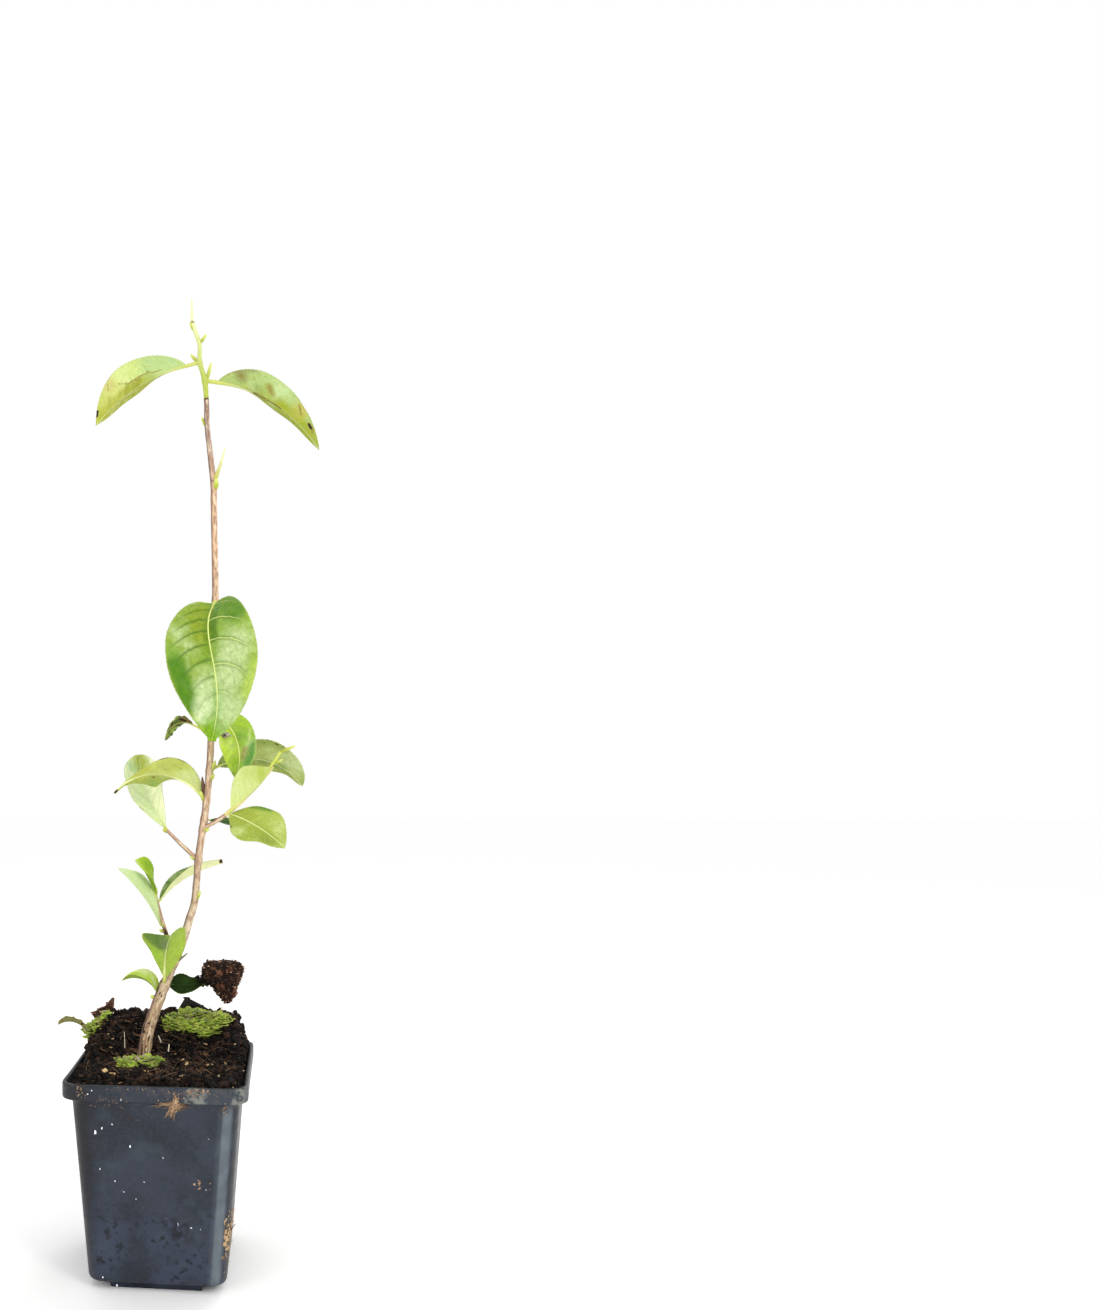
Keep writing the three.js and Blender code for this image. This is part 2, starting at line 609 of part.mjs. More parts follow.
// The clod: rings by height, middle and half-width, with bumps that turn from ring to ring
function clod() {
  const rings = CLOD_RINGS.map(({ z, x, half }, level) => {
    const ring = [];
    for (let k = 0; k < CLOD_SIDES; k++) {
      const angle = (2 * Math.PI * k) / CLOD_SIDES;
      const reach = half * (1 + CLOD_BUMP * Math.sin(CLOD_BUMPS * angle + CLOD_BUMP_TURN * level));
      ring.push(new THREE.Vector3(x + reach * Math.cos(angle),
        CLOD_Y + CLOD_DEPTH_SHARE * reach * Math.sin(angle), z));
    }
    return ring;
  });
  return loft(rings);
}

// Assembly

addPart('pot', pot(), POT_PLASTIC, 0.45);

const stemLine = walk(STEM_BENDS, STEM_RING_STEP);
const shootLine = walk(SHOOT_BENDS, STEM_RING_STEP / 2);
const jointHeights = [...LEAVES, ...TWIGS].filter((item) => item.z).map((item) => item.z);
for (const place of [...stemLine, ...shootLine]) {
  for (const z of jointHeights) {
    place.radius += NODE_SWELL * Math.exp(-(((place.z - z) / NODE_REACH) ** 2));
  }
}
const stemKeepOut = tube(stemLine, STEM_SIDES, GAP).add(tube(shootLine, STEM_SIDES, GAP));

// Ground level: the stem's foot is cut flat in a shallow socket in the compost
const ground = STEM_BENDS[0].z + 1;
const belowGround = new THREE.BoxGeometry(4 * RIM_HALF, 4 * RIM_HALF, RIM_HALF);
belowGround.translate(0, 0, ground - RIM_HALF / 2);
const belowSocket = solidOf(belowGround.clone().translate(0, 0, -GAP));
const compost = largest(soil().subtract(stemKeepOut.subtract(belowSocket)));
addPart('soil', compost, COMPOST, 0.95);
addPart('stem', largest(tube(stemLine, STEM_SIDES).subtract(solidOf(belowGround))), BARK, 0.8);

const aboveCompost = compost.add(compost.translate([0, 0, GAP])).add(stemKeepOut);
let mossKeepOut = aboveCompost;
for (const patch of CUSHIONS) {
  const moss = largest(cushion(patch).subtract(aboveCompost));
  addPart(patch.name, moss, MOSS_GREEN, 0.9);
  mossKeepOut = mossKeepOut.add(moss).add(moss.translate([0, 0, GAP])).add(moss.translate([-GAP, 0, 0]));
}

// The green shoot at the top, with the buds in its joints
const topShoot = TOP_BUDS.reduce(
  (all, bud) => all.add(budSolid(atHeight(SHOOT_BENDS, bud.z), bud)),
  tube(trimmed(shootLine, GAP), STEM_SIDES),
);
addPart('top_shoot', topShoot, SHOOT_GREEN, 0.5);

for (const shoot of SIDE_SHOOTS) {
  const solid = tube(run(atHeight(STEM_BENDS, shoot.z), shoot, TWIG_STEPS), TWIG_SIDES);
  addPart(shoot.name, largest(solid.subtract(stemKeepOut)), SHOOT_GREEN, 0.5);
}

// Twigs, and the space that leaves on them keep clear of
const twigLines = {};
let keepOut = stemKeepOut;
for (const twig of TWIGS) {
  const line = run(atHeight(STEM_BENDS, twig.z), twig, TWIG_STEPS);
  const lengthened = [...line, beyond(line, GAP)];
  twigLines[twig.name] = line;
  addPart(twig.name, largest(tube(line, TWIG_SIDES).subtract(stemKeepOut)), BARK, 0.75);
  keepOut = keepOut.add(tube(lengthened, TWIG_SIDES, GAP));
}

// Sprays: a green shoot on a twig's tip, with the leaves and buds that grow from it
for (const spray of SPRAYS) {
  const line = run(endOf(twigLines[spray.twig]), spray, SPRAY_STEPS);
  let solid = tube(line, TWIG_SIDES);
  for (const leaf of LEAVES.filter((item) => item.spray === spray.name)) {
    solid = solid.add(leafSolid(leaf, alongLine(line, leaf.share)));
  }
  for (const bud of spray.buds) {
    solid = solid.add(budSolid(alongLine(line, bud.share), bud));
  }
  addPart(spray.name, largest(solid.subtract(keepOut)), SHOOT_GREEN, 0.5);
  keepOut = keepOut.add(tube(line, TWIG_SIDES, GAP));
}

// Where a single leaf starts: in the moss, on a twig, or on the stem or its top shoot
function jointOf(leaf) {
  if (leaf.at) {
    return leaf.at;
  }
  if (leaf.twig) {
    return alongLine(twigLines[leaf.twig], leaf.share);
  }
  return atHeight(leaf.z > endOf(STEM_BENDS).z ? SHOOT_BENDS : STEM_BENDS, leaf.z);
}

for (const leaf of LEAVES.filter((item) => !item.spray)) {
  const blocked = leaf.at ? mossKeepOut : keepOut;
  const blade = largest(leafSolid(leaf, jointOf(leaf)).subtract(blocked));
  addPart(leaf.name, blade, leaf.color ?? LEAF_GREEN, 0.5);
}

// The clod of compost that the low dark leaf carries on its tip
const carrier = LEAVES.find((leaf) => leaf.name === 'leaf_dark_low');
const carrierRoom = leafSolid(
  { ...carrier, length: carrier.length + GAP, width: carrier.width + 2 * GAP },
  atHeight(STEM_BENDS, carrier.z),
  GAP,
);
addPart('clod', largest(clod().subtract(carrierRoom)), COMPOST, 0.95);

export default plant;
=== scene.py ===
import json
import math
from itertools import combinations

import bpy
import numpy as np
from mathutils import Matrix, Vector, noise


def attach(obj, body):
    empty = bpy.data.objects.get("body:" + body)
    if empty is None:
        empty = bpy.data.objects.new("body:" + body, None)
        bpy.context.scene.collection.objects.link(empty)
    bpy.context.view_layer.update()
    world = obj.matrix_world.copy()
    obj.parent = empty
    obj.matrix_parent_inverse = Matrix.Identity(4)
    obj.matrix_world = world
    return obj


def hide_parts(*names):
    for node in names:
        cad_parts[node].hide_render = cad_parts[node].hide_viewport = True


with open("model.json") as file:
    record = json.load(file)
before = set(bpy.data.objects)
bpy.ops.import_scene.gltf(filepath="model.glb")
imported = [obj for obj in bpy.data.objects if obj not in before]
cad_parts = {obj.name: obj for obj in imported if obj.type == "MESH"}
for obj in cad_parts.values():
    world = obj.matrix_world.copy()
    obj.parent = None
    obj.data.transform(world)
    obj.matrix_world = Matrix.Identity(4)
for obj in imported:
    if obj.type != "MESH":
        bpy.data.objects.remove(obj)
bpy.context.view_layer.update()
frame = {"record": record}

MM = 0.001

# Photograph and camera
PHOTO_WIDTH, PHOTO_HEIGHT = 1100, 1310
PRINCIPAL_X, PRINCIPAL_Y = 190, 795
SENSOR = 36
LENS = 27
CAMERA_PLACE = (61.6, -502.3, 247.7)
CAMERA_TURN = 5.47
CAMERA_DIP = 0.8

# Pot
POT_HEIGHT = 103.4
RIM_HALF = 45
RIM_CORNER = 8.5
COLLAR_HEIGHT = 7.6
COLLAR_FOOT = POT_HEIGHT - COLLAR_HEIGHT
BODY_TOP_HALF = 41
BODY_BOTTOM_HALF = 34.2
BODY_CORNER = 8
FOOT_HALF = 30.2
FOOT_RISE = 5.5
FOOT_NOTCH = 7
WALL = 1.4
RIM_ROUND = 0.6
FLOOR = 1.6
DRAIN_HOLE_RADIUS = 4
DRAIN_HOLE_OFFSET = 17
POCKET_HALF = RIM_HALF - RIM_ROUND - WALL
POCKET_CORNER = BODY_CORNER - WALL
GAP = 0.3
POT_CORNER_POINTS = 14
POT_SIDE_POINTS = 26

# Compost surface
SOIL_EDGE_FRONT = 100.5
SOIL_FRONT = 103
SOIL_BACK = 120
SOIL_EDGE_BACK = 107.5
SOIL_EDGE_TILT = 0.09
SOIL_SHOULDER = 9
SOIL_SLOPE_START = -3
SOIL_SLOPE_LENGTH = 30
SOIL_LEFT_LEAD = 7
SOIL_LEFT_FROM, SOIL_LEFT_TO = 10, 38
SOIL_LUMP = 1.3
SOIL_RINGS = 76
SOIL_CORNER_POINTS = 10
SOIL_SIDE_POINTS = 62

# Moss cushions: name, x, y, half-width across and deep, thickness and number of lobes
CUSHIONS = [
    ("moss_foot", -11.5, -8.5, 10.5, 7.5, 2.2, 5),
    ("moss_back", 15.5, 21.5, 17, 8, 2.4, 4),
    ("moss_left", -39, 21, 6, 8, 2.6, 3),
]
CUSHION_SINK = 4
CUSHION_SIDES = 108
CUSHION_LOBE = 0.07
LOBES_PER_AREA = 7

# Clod: its rings by height, sideways middle and half-width, its middle, and where it hangs
CLOD_Y = 9
CLOD_DEPTH_SHARE = 0.62
CLOD_RINGS = [(131.8, 31.6, 1), (135, 32.2, 4), (140, 31.2, 6.8), (145, 29.6, 10.4),
              (149.5, 29.2, 11), (152.6, 29.4, 9.4), (153.6, 29.4, 6.4)]
CLOD_MIDDLE = (30, CLOD_Y, 145)
CLOD_ROOT = (21.5, CLOD_Y - 1, 143.5)

# Stem and top shoot: x, y, z and radius at each bend
STEM_BENDS = np.array([
    (-12.4, 0, 101, 3.9), (-10.6, 0, 106, 3.4), (-8.5, 1, 118, 3.1), (-5.3, 1.5, 128, 3.0),
    (-1.9, 2, 137, 2.8), (2.1, 2, 147, 2.4), (8.8, 3, 163, 2.15), (13.1, 3, 177, 2.05),
    (15.8, 3, 187, 1.9), (17.9, 2.5, 210, 1.85), (21.4, 1, 233, 1.8), (23.7, 0, 257, 1.75),
    (25.4, -1, 294, 1.7), (26.5, 0, 340, 1.7), (25.6, 2, 387, 1.6), (25.3, 2, 401, 1.6),
    (22.4, 1, 427, 1.35), (21.9, 0, 442, 1.3),
])
SHOOT_BENDS = np.array([
    (21.9, 0, 442, 1.3), (21.1, 0, 452, 1.35), (18.6, -1, 461, 1.2), (18.4, -1, 470, 1.1),
    (14.9, 0, 481, 1.2), (14.5, 0, 487, 0.8), (14.4, 0, 493.4, 0.35),
])
STEM_STEP = 0.4
STEM_SIDES = 48
TWIG_STEP = 0.35
TWIG_SIDES = 26
SHOOT_SIDES = 28
OLD_BARK = (110, 175)
LEADER_RING = 481.7
STRAND_STEPS = 9
STRAND_SIDES = 5
BARK_STRETCH = 0.22
NODE_SWELL = 0.3
NODE_REACH = 2.2

# Twigs and side shoots: height of the joint, heading, rise, bend, length and end radii
TWIGS = {
    "twig_left": (207, 161, 38, 4, 23.2, 1.2, 0.85),
    "twig_right": (223.4, -31, 23, 8, 16, 1.2, 1.0),
    "twig_low": (156, 149, 60, 12, 29.2, 1.25, 0.95),
    "dry_spur": (153.6, -20, 30, 12, 9.5, 0.9, 0.3),
}
SIDE_SHOOT = (400.4, -22, 62, 14, 18.5, 1.3, 0.35)

# Sprays: the twig they stand on, heading, rise, bend, length and end radii
SPRAYS = {
    "spray_right": ("twig_right", -17, 39, 17, 43, 1.15, 0.6),
    "spray_low": ("twig_low", 140, 72, 10, 5.5, 1, 0.6),
}

# Buds: what they grow from, its height in mm or share, heading, rise, length and radius
BUDS = [
    ("top", 460.8, 160, 50, 7, 0.85), ("top", 451.9, 5, 76, 9.5, 0.9), ("top", 471, -10, 52, 5, 0.8),
    ("top", 477.5, 195, 66, 4.5, 0.6), ("stem", 429.5, 170, 66, 5, 0.75), ("stem", 252, -20, 70, 6.5, 1.0),
    ("stem", 248, -25, 62, 4, 0.9), ("stem", 222.5, -40, 10, 3.6, 0.9), ("stem", 397, -40, 82, 5.5, 1.35),
    ("stem", 187, -35, 60, 4.5, 0.9), ("stem", 237.5, 200, 70, 6, 1.0), ("stem", 207, 175, 30, 3.5, 0.8),
    ("stem", 135.5, 190, 20, 3, 1.0), ("spray_right", 1, -9, 21, 8, 0.8),
    ("spray_right", 0.84, 10, 22, 5, 0.7), ("spray_low", 1, 100, 80, 4, 0.7),
    ("twig_left", 0.97, 150, 20, 3, 1.1), ("twig_low", 0.5, 175, 20, 3.2, 0.9),
]
DRY_BUDS = [("stem", 239.5, 178, 84, 11, 0.95), ("twig_low", 0.4, -110, 58, 6.5, 1.05),
            ("stem", 282, 150, 60, 3, 0.7)]

LEAF_ROWS = 120
LEAF_COLUMNS = 13
LEAF_THICKNESS = 0.42
BLADE_END_HALF = 0.3
PETIOLE_SHARE = 0.015
PETIOLE_LEAST = 0.5
PETIOLE_RUN_IN = 0.3
PETIOLE_STEPS = 8
VEINS_FADE = (0.5, 0.78, 1, 0.3)
TEETH_PER_MM = 0.55
TOOTH = 0.3


def paint(code):
    """A colour written as 0xRRGGBB, as a linear colour for a shader"""
    parts = [((code >> shift) & 255) / 255 for shift in (16, 8, 0)]
    return (*[c / 12.92 if c <= 0.04045 else ((c + 0.055) / 1.055) ** 2.4 for c in parts], 1)


# Leaves. "z" is the height of the joint on the stem or leader; "twig" and "share" are its place on a
# twig or spray, and "at" is its place on the compost. "seen" is the side that faces the front.
# "form" is petiole, length, width, heading, rise, droop, turn, roll, twist, fold, widest, base and
# tip, as in the solid. "tones" are the lamina, its deep and pale colours, which also paint its shade
# and light, its foot, its tip, the strip beside the midrib, the ribs and the side that faces away.
# "other" is the half at negative shares outwards, partly in its own colour and partly in painted light
# and shade, "stalk" the petiole. "freckles", "veins" and "net" are how strongly they show, "sheen" the
# specular level and "gloss" the roughness of the upper side. "pairs", "vein_start" and "sweep" place
# the side veins of both halves; "crease", "pucker" and "quilt" shape the lamina between them, and
# "creased" marks the one leaf whose veins are deep folds, painted dark as shade, that fade to the tip.
# "vee" is how far the fold eases to the rim, "bow" bends the midrib sideways, "lobes" draw the two
# halves back at the foot, "ragged" eats the rim, "end" is the half-width left at the tip, "thick" the
# petiole's radius.
# "pinch" narrows one half at a place: share of the length, half, spread and amount.
# Places on a leaf are pairs: percent of the length and percent outwards. The soft patches are painted
# light and shade: place, radius in mm, and how pale (painted light) or, with a minus, how deep (painted
# shade) they are. The patches or streaks of another colour are partly the leaf's own colours and
# partly painted glare and sheen: the places that they pass through, half-width in mm, strength and
# colour. "marks" are brown lines or spots: their places, half-width and how dark they are.
FORM_KEYS = "petiole length width heading rise droop turn roll twist fold widest base tip".split()
TONE_KEYS = "lamina deep pale near far inner rib back".split()
LEAVES = [
    dict(name="top_left", z=460.8, seen="lower", freckles=0.1,
         form=(7, 56, 25, 186, -14, 37, -6, 20, 22, 41, 0.53, 0.68, 1),
         tones=(0xC4D682, 0xA6B03A, 0xDCE8A4, 0xB6CE90, 0xB7BE48, 0xB0B940, 0xC6CE82, 0xAFB83C),
         other=0x9AA02C, veins=0.12, clouds=[(60, 60, 9, 0.5), (80, 40, 6, -0.5)],
         tints_and_painted_light=[((17, 80, 27, 60), 9, 0.8, 0xAECA8C), ((68, 55, 76, 55), 8, 0.6, 0xC2C264),
          ((68, 85), 4, 0.5, 0xC8B080), ((35, 4, 60, 6, 88, 6), 3.4, 0.85, 0x9AA02E),
          ((50, 2, 43, 22), 1.1, 0.9, 0x747C18), ((56, 2, 50, 26), 1.0, 0.85, 0x7E861E),
          ((62, 3, 55, 34), 1.2, 0.9, 0x7A821C), ((70, 3, 64, 26), 1.0, 0.8, 0x868E22),
          ((80, 10, 74, 45), 1.0, 0.7, 0x949A30), ((90, 30, 100, 0), 5, 0.7, 0xAAB034)],
         marks=[((22, 22, 31, 24, 35, 36), 0.4, 0.66), ((90, 90, 93, 92), 0.9, 1.0),
          ((34, 30, 41, 28, 45, 31, 53, 34, 61, 50), 0.42, 0.72), ((35, 60, 35, 36), 0.3, 0.6),
          ((45, 31, 47, 22), 0.5, 0.72), ((50, 60, 50, 42), 0.3, 0.5), ((68, 90, 72, 70), 0.5, 0.55)]),
    dict(name="top_right", z=451.9, seen="lower", freckles=0.55,
         form=(7, 67, 28, 28, 2, 55, -6, -28, -21, 57, 0.46, 0.75, 0.9),
         tones=(0x8C9420, 0x86941E, 0xBED496, 0xA0B666, 0x98A22E, 0xA0AC44, 0xBCC680, 0x98A03C),
         other=0xA8BE74, veins=0.16, pinch=[(0.5, 1, 0.6, 0.3), (0.7, -1, 0.06, 0.06)],
         clouds=[(50, -60, 9, 0.8)],
         tints_and_painted_light=[((42, -40, 41, -15), 4.5, 0.8, 0x98AA44), ((70, -80, 69, -50), 5, 0.85, 0xBAB052),
          ((56, -4, 68, -4, 80, -4), 6.5, 0.95, 0x96A21E), ((86, -50, 100, 0), 5, 0.7, 0x98A22C),
          ((18, -70, 20, -60), 4, 0.8, 0x84844A), ((42, -55, 45, -35), 2.6, 0.75, 0x8C7C40),
          ((33, -30, 36, -10), 2.5, 0.6, 0x7E8A3A), ((13, -100, 28, -100), 1.8, 0.6, 0x8A8A5A),
          ((30, -10, 34, -30), 4, 0.4, 0x9DB67A)],
         marks=[((24, 0, 35, 0, 46, 0, 56, 2), 0.9, 0.85), ((18, -70, 20, -60), 1.4, 0.66),
          ((29, -60), 1.0, 0.62), ((81, -72, 83, -66), 1.0, 1.2), ((42, -50, 44, -40), 1.0, 0.66),
          ((36, -25), 0.7, 0.6), ((56, -20), 0.6, 0.55), ((67, -82, 72, -60), 0.8, 0.7),
          ((84, -85, 87, -60), 0.9, 0.66), ((8, -90, 14, -98), 0.8, 0.5), ((60, -95), 0.7, 0.5)]),
    # Its pale bluish-white tints are painted glare and sheen
    dict(name="big_front", z=339.6, seen="upper", freckles=0.05,
         form=(5, 81, 47, -94, -30, 78, 29, 8, 6, 23, 0.5, 0.58, 0.83),
         tones=(0x92B040, 0x4E7414, 0xCCDCA2, 0x96AE34, 0x9DBB40, 0x8BAA3C, 0xE4EE92, 0xAFC383),
         other=0x8AA634, veins=0.6, net_size=4.6, pairs=(6, 9.5), sweep=((0.0, 0.28), (0.1, 0.26)),
         vein_start=(0.74, 0.7), crease=0.38, creased=True, columns=24, pucker=0.6, quilt=0.6, bow=-1.7,
         lobes=(5.2, 3.2), end=2.2, clouds=[(45, -50, 9, 0.3), (35, -75, 7, 0.4)],
         tints_and_painted_light=[((56, -85, 66, -80, 78, -86), 6, 0.95, 0x4A7E00), ((49, -92), 5, 0.6, 0x7FA63A),
          ((68, -32, 74, -35), 6, 0.8, 0xC8DAA2), ((79, -50, 84, -55), 5.5, 0.9, 0xD8E6B4),
          ((60, -25), 5, 0.5, 0xB6CC82), ((10, 50, 14, 70, 25, 78), 8.5, 0.9, 0x568410),
          ((15, 20, 24, 14, 36, 10), 4.5, 0.85, 0x417000), ((88, -30, 94, -25, 99, 0), 5, 0.9, 0x7CAA08),
          ((13, -30, 24, -28, 36, -20), 6.5, 0.85, 0x8A9E12),
          ((46, 60, 55, 42, 63, 30), 9.5, 0.8, 0xC6D69C), ((42, -10, 50, -14), 3, 0.7, 0x769618),
          ((60, 98, 74, 95), 4, 0.75, 0xB6CC5C), ((80, 40), 10, 0.75, 0xC6D8A0),
          ((93, 80), 5, 0.6, 0x97B868), ((35, 50, 42, 30), 5, 0.5, 0x9DB868),
          ((70, 10, 90, 10), 3, 0.5, 0xA2C478), ((83, -6, 72, -8), 1.6, 0.6, 0x74A02C)],
         marks=[((17, -45, 18.5, -40), 0.35, 0.6), ((33, -75), 0.25, 0.5)]),
    dict(name="back_middle", z=318, seen="upper", freckles=0.2,
         form=(4, 46, 21, 97, 34, 66, 12, 8, -12, 22, 0.48, 0.8, 1),
         tones=(0x93B052, 0x6E8E34, 0xB4CA7E, 0xA6B858, 0x9CAA48, 0x8AA548, 0xC9D98A, 0xA8BC78),
         clouds=[(40, 50, 10, 0.5), (70, -50, 9, -0.5)]),
    dict(name="right_hang", z=283, seen="upper", freckles=0.3,
         form=(4, 36.5, 23, -15, -33, 82, -19, 57, 7, 38, 0.5, 0.6, 0.93),
         tones=(0xA0C44A, 0x6E9A38, 0xC2D890, 0xA2C038, 0x84A83C, 0xA8C440, 0xEDF09A, 0xA9BE6A),
         other=0xBAD43E, veins=0.3, pucker=0.4, vee=-0.6, rib_scale=2.2, clouds=[(55, 70, 5, 0.7),
          (50, -40, 5, 0.5), (40, 30, 5, -0.5)],
         tints_and_painted_light=[((25, 70, 35, 80), 5, 0.7, 0xAFD22C), ((60, 90, 75, 70), 4.5, 0.9, 0x4F9440),
          ((60, 40, 68, 22), 2.4, 0.85, 0xB8A878), ((40, 85, 50, 60), 1.2, 0.8, 0xD6E892),
          ((53, 98, 66, 100, 80, 100), 0.8, 0.8, 0xD2E48A), ((75, -35), 4, 0.5, 0x86B41E),
          ((45, -45, 60, -50), 2, 0.6, 0xC6DE5A), ((42, 40), 4, 0.6, 0x82B040)],
         marks=[((57, 30, 64, 22, 70, 14), 0.7, 0.6), ((30, -70, 36, -50), 1.2, 0.7),
          ((90, 3, 98, 3), 0.6, 0.5)]),
    dict(name="curled", z=271.4, seen="lower", freckles=0.9,
         form=(11, 20, 7.5, 172, 29, 114, 0, 20, 110, 50, 0.45, 0.7, 0.6),
         tones=(0x42581A, 0x131C08, 0x8CA044, 0x384C16, 0x546E26, 0x222F0F, 0x9CA850, 0x4A6426),
         stalk=0xD9CF70, pairs=(12, 12), pucker=0.7, ragged=0.8,
         tints_and_painted_light=[((15, 40, 30, 60), 1.6, 0.9, 0x7C4A3C), ((50, -60, 70, -50), 1.4, 0.8, 0xA6BE5C),
          ((85, 20), 2, 0.6, 0xB0BC6C), ((40, 90, 60, 90), 1, 0.7, 0xA8BC58)],
         marks=[((22, 30, 34, 50), 1.0, 1.0), ((55, 60, 62, 20), 0.9, 1.0), ((80, 50), 0.9, 1.0),
          ((40, -50, 50, -30), 0.9, 1.0)]),
    dict(name="right_reach", z=253, seen="lower", freckles=0.35,
         form=(5, 49.5, 25.5, 8, 29, 84, 7, -48, 26, 13, 0.55, 0.7, 0.68),
         tones=(0x8A9630, 0x8A9834, 0xD0DCA2, 0x5E7A34, 0xB8C87C, 0xA9B968, 0xE9EDB0, 0x7F9A44),
         other=0xB6C472, veins=0.3, pinch=[(0.85, 1, 0.12, 0.4)],
         tints_and_painted_light=[((30, -90, 45, -100, 62, -100), 4.5, 0.85, 0x92A552), ((77, -80), 8, 0.75, 0xCBDAA4),
          ((55, -40), 6, 0.5, 0xCFDC98), ((50, 15, 60, 15, 72, 10), 3, 0.85, 0x6E8E30),
          ((50, 70, 70, 60), 3, 0.5, 0x9DB052), ((90, -90, 98, -50), 2, 0.5, 0x8FA652)],
         marks=[((45, -85), 0.6, 0.9), ((54, -93, 56, -90), 0.65, 0.95), ((60, -98), 0.6, 0.8),
          ((46, -100, 50, -100), 0.6, 0.62), ((64, -85, 66, -80), 0.4, 0.6),
          ((70, -95, 76, -100), 0.6, 0.55)]),
    dict(name="arch_left", z=237.4, seen="lower", freckles=0.5,
         form=(4, 52, 27, 192, 49, 95, -28, 58, 44, 60, 0.39, 0.8, 2.1),
         tones=(0xCAD46C, 0x9CAA40, 0xD6E09A, 0xCFDC8C, 0xA8B450, 0xCDD572, 0xF0F4B0, 0x8AA34A),
         other=0xA2B04E, veins=0.1, thick=0.85, end=1.1, pinch=[(0.22, -1, 0.17, 0.8),
          (0.6, -1, 0.09, -0.45)],
         tints_and_painted_light=[((64, 85, 70, 60), 4, 0.8, 0xB8BC3C), ((15, 50, 22, 40), 6, 0.7, 0xE0EAA6),
          ((33, 75, 45, 60), 5, 0.6, 0xB2BC54), ((55, -35), 4, 0.6, 0x9CA646),
          ((61, -95), 4, 0.8, 0x8DB05C), ((86, 0, 100, 0), 2, 0.6, 0xA2B03C)],
         marks=[((97, 0, 100, 0), 1.3, 0.8), ((55, -33, 56, -40), 0.7, 0.85),
          ((44, 100, 50, 97), 0.7, 0.9), ((28, 97, 36, 99), 0.7, 0.7), ((30, 60), 0.45, 0.9),
          ((43, 35), 0.45, 0.9), ((63, 70), 0.4, 0.75), ((37, 70), 0.4, 0.7), ((50, 60), 0.35, 0.65),
          ((62, -70), 0.4, 0.7)]),
    # This leaf sits behind the stem in its shadow: its dark greens are painted shade
    dict(name="back_right", z=228, seen="lower", freckles=0.2,
         form=(3, 32, 15, 38, -5, 20, 8, -14, 10, 12, 0.48, 0.8, 1),
         tones=(0x40602A, 0x2A401A, 0x5F8040, 0x35501F, 0x55682F, 0x35501F, 0x66853E, 0x5F7A34)),
    dict(name="cup_front", z=141.5, seen="lower", freckles=0.25,
         form=(4, 34, 27.5, -82, 76, 47, 15, -26, 44, 34, 0.69, 1.1, 1.25),
         tones=(0xA4BE42, 0x6B9034, 0xBCD05C, 0xA8C44A, 0x9CB440, 0xA0B84A, 0xE4EC9C, 0x6F8D3B),
         veins=0.12, pucker=0.2, shift=(0.4, -2.5, 0), thick=0.85, rib_scale=1.8,
         tints_and_painted_light=[((85, -60, 72, -70, 60, -40), 5.5, 0.95, 0x4E7628),
          ((62, -12, 80, -15), 2.8, 0.9, 0x6C7458), ((35, -60, 45, -75), 3.5, 0.8, 0x9CC62E),
          ((30, 40, 45, 60), 4, 0.5, 0xAAC43E), ((80, 50, 90, 20), 4.5, 0.6, 0x8FB03E),
          ((60, 30), 3, 0.5, 0x9EBA3C)],
         marks=[((38, -97, 46, -100), 0.8, 0.85), ((60, -95), 0.5, 0.6)]),
    dict(name="arch_low", z=135.4, seen="upper", freckles=0.3,
         form=(2.6, 22.5, 12, 182, 67, 99, -3, -33, 39, 36, 0.43, 1, 0.95),
         tones=(0xB8D248, 0x94B236, 0xD6E29A, 0xC0CC70, 0xB4CC50, 0xB4CE50, 0xDCE692, 0x9FB452),
         veins=0.1, net=0.08, thick=0.6, clouds=[(50, -80, 3.5, 0.8)],
         tints_and_painted_light=[((20, -30, 40, -90, 70, -90), 1.2, 0.7, 0xDCE6A8)],
         marks=[((50, 30), 0.5, 0.75), ((26, 10, 30, 15), 0.5, 0.85)]),
    # This leaf sits in shade behind the stem: its near-black greens are painted shade
    dict(name="dark_low", z=142.6, seen="upper",
         form=(1.5, 20, 13, 20, -5, -9, -17, 53, -31, 6, 0.42, 0.72, 1.05),
         tones=(0x1A2E08, 0x0B1203, 0x2C4612, 0x121C06, 0x0A0B04, 0x1C320A, 0x2C4018, 0x1C2A10),
         stalk=0x1E2814, veins=0.3, net=0.1, sheen=0.08, gloss=0.6, pinch=[(0.62, 1, 0.08, 0.15)],
         clouds=[(50, 40, 4, 0.5), (85, 0, 4, -0.8)]),
    # Its near-white half and near-white streak are painted light shining through the blade
    dict(name="left_pale", twig="twig_left", share=1, seen="upper", freckles=0.05,
         form=(1.6, 54.5, 29, 138, 41, -11, -36, -43, 36, 49, 0.54, 0.85, 0.74),
         tones=(0xEAF6CA, 0xB2CC80, 0xE4F0C8, 0xE4F0BC, 0xB9C25C, 0xE0EEC0, 0xF6FAD0, 0xA5B96E),
         other=0xFFFFDC, stalk=0xCFD464, veins=0.35, vee=-0.8,
         tints_and_painted_light=[((98, -30, 88, 0, 80, -30), 6, 0.9, 0xAEB636), ((78, 60), 5, 0.7, 0xA8CE92),
          ((25, -60, 60, -70), 6, 0.9, 0xFDFFD6)],
         marks=[((22, 95, 25, 100), 0.45, 0.85)]),
    dict(name="low_pale", twig="twig_low", share=0.6, seen="upper",
         form=(1.8, 37, 22, 201, 65, 24, -22, -12, 1, 20, 0.55, 1.05, 0.8),
         tones=(0xD0E4A8, 0xBCD888, 0xE2ECCB, 0xCAE096, 0xD2E4B4, 0xCEE2A4, 0xD2E4AA, 0xCCDEA0), veins=0,
         net=0, shift=(-0.5, -3.5, 0), pinch=[(0.35, -1, 0.3, -0.15)], clouds=[(60, 80, 8, 0.5)]),
    dict(name="decayed", at=(-41.5, 15, 110), seen="lower", freckles=0.6,
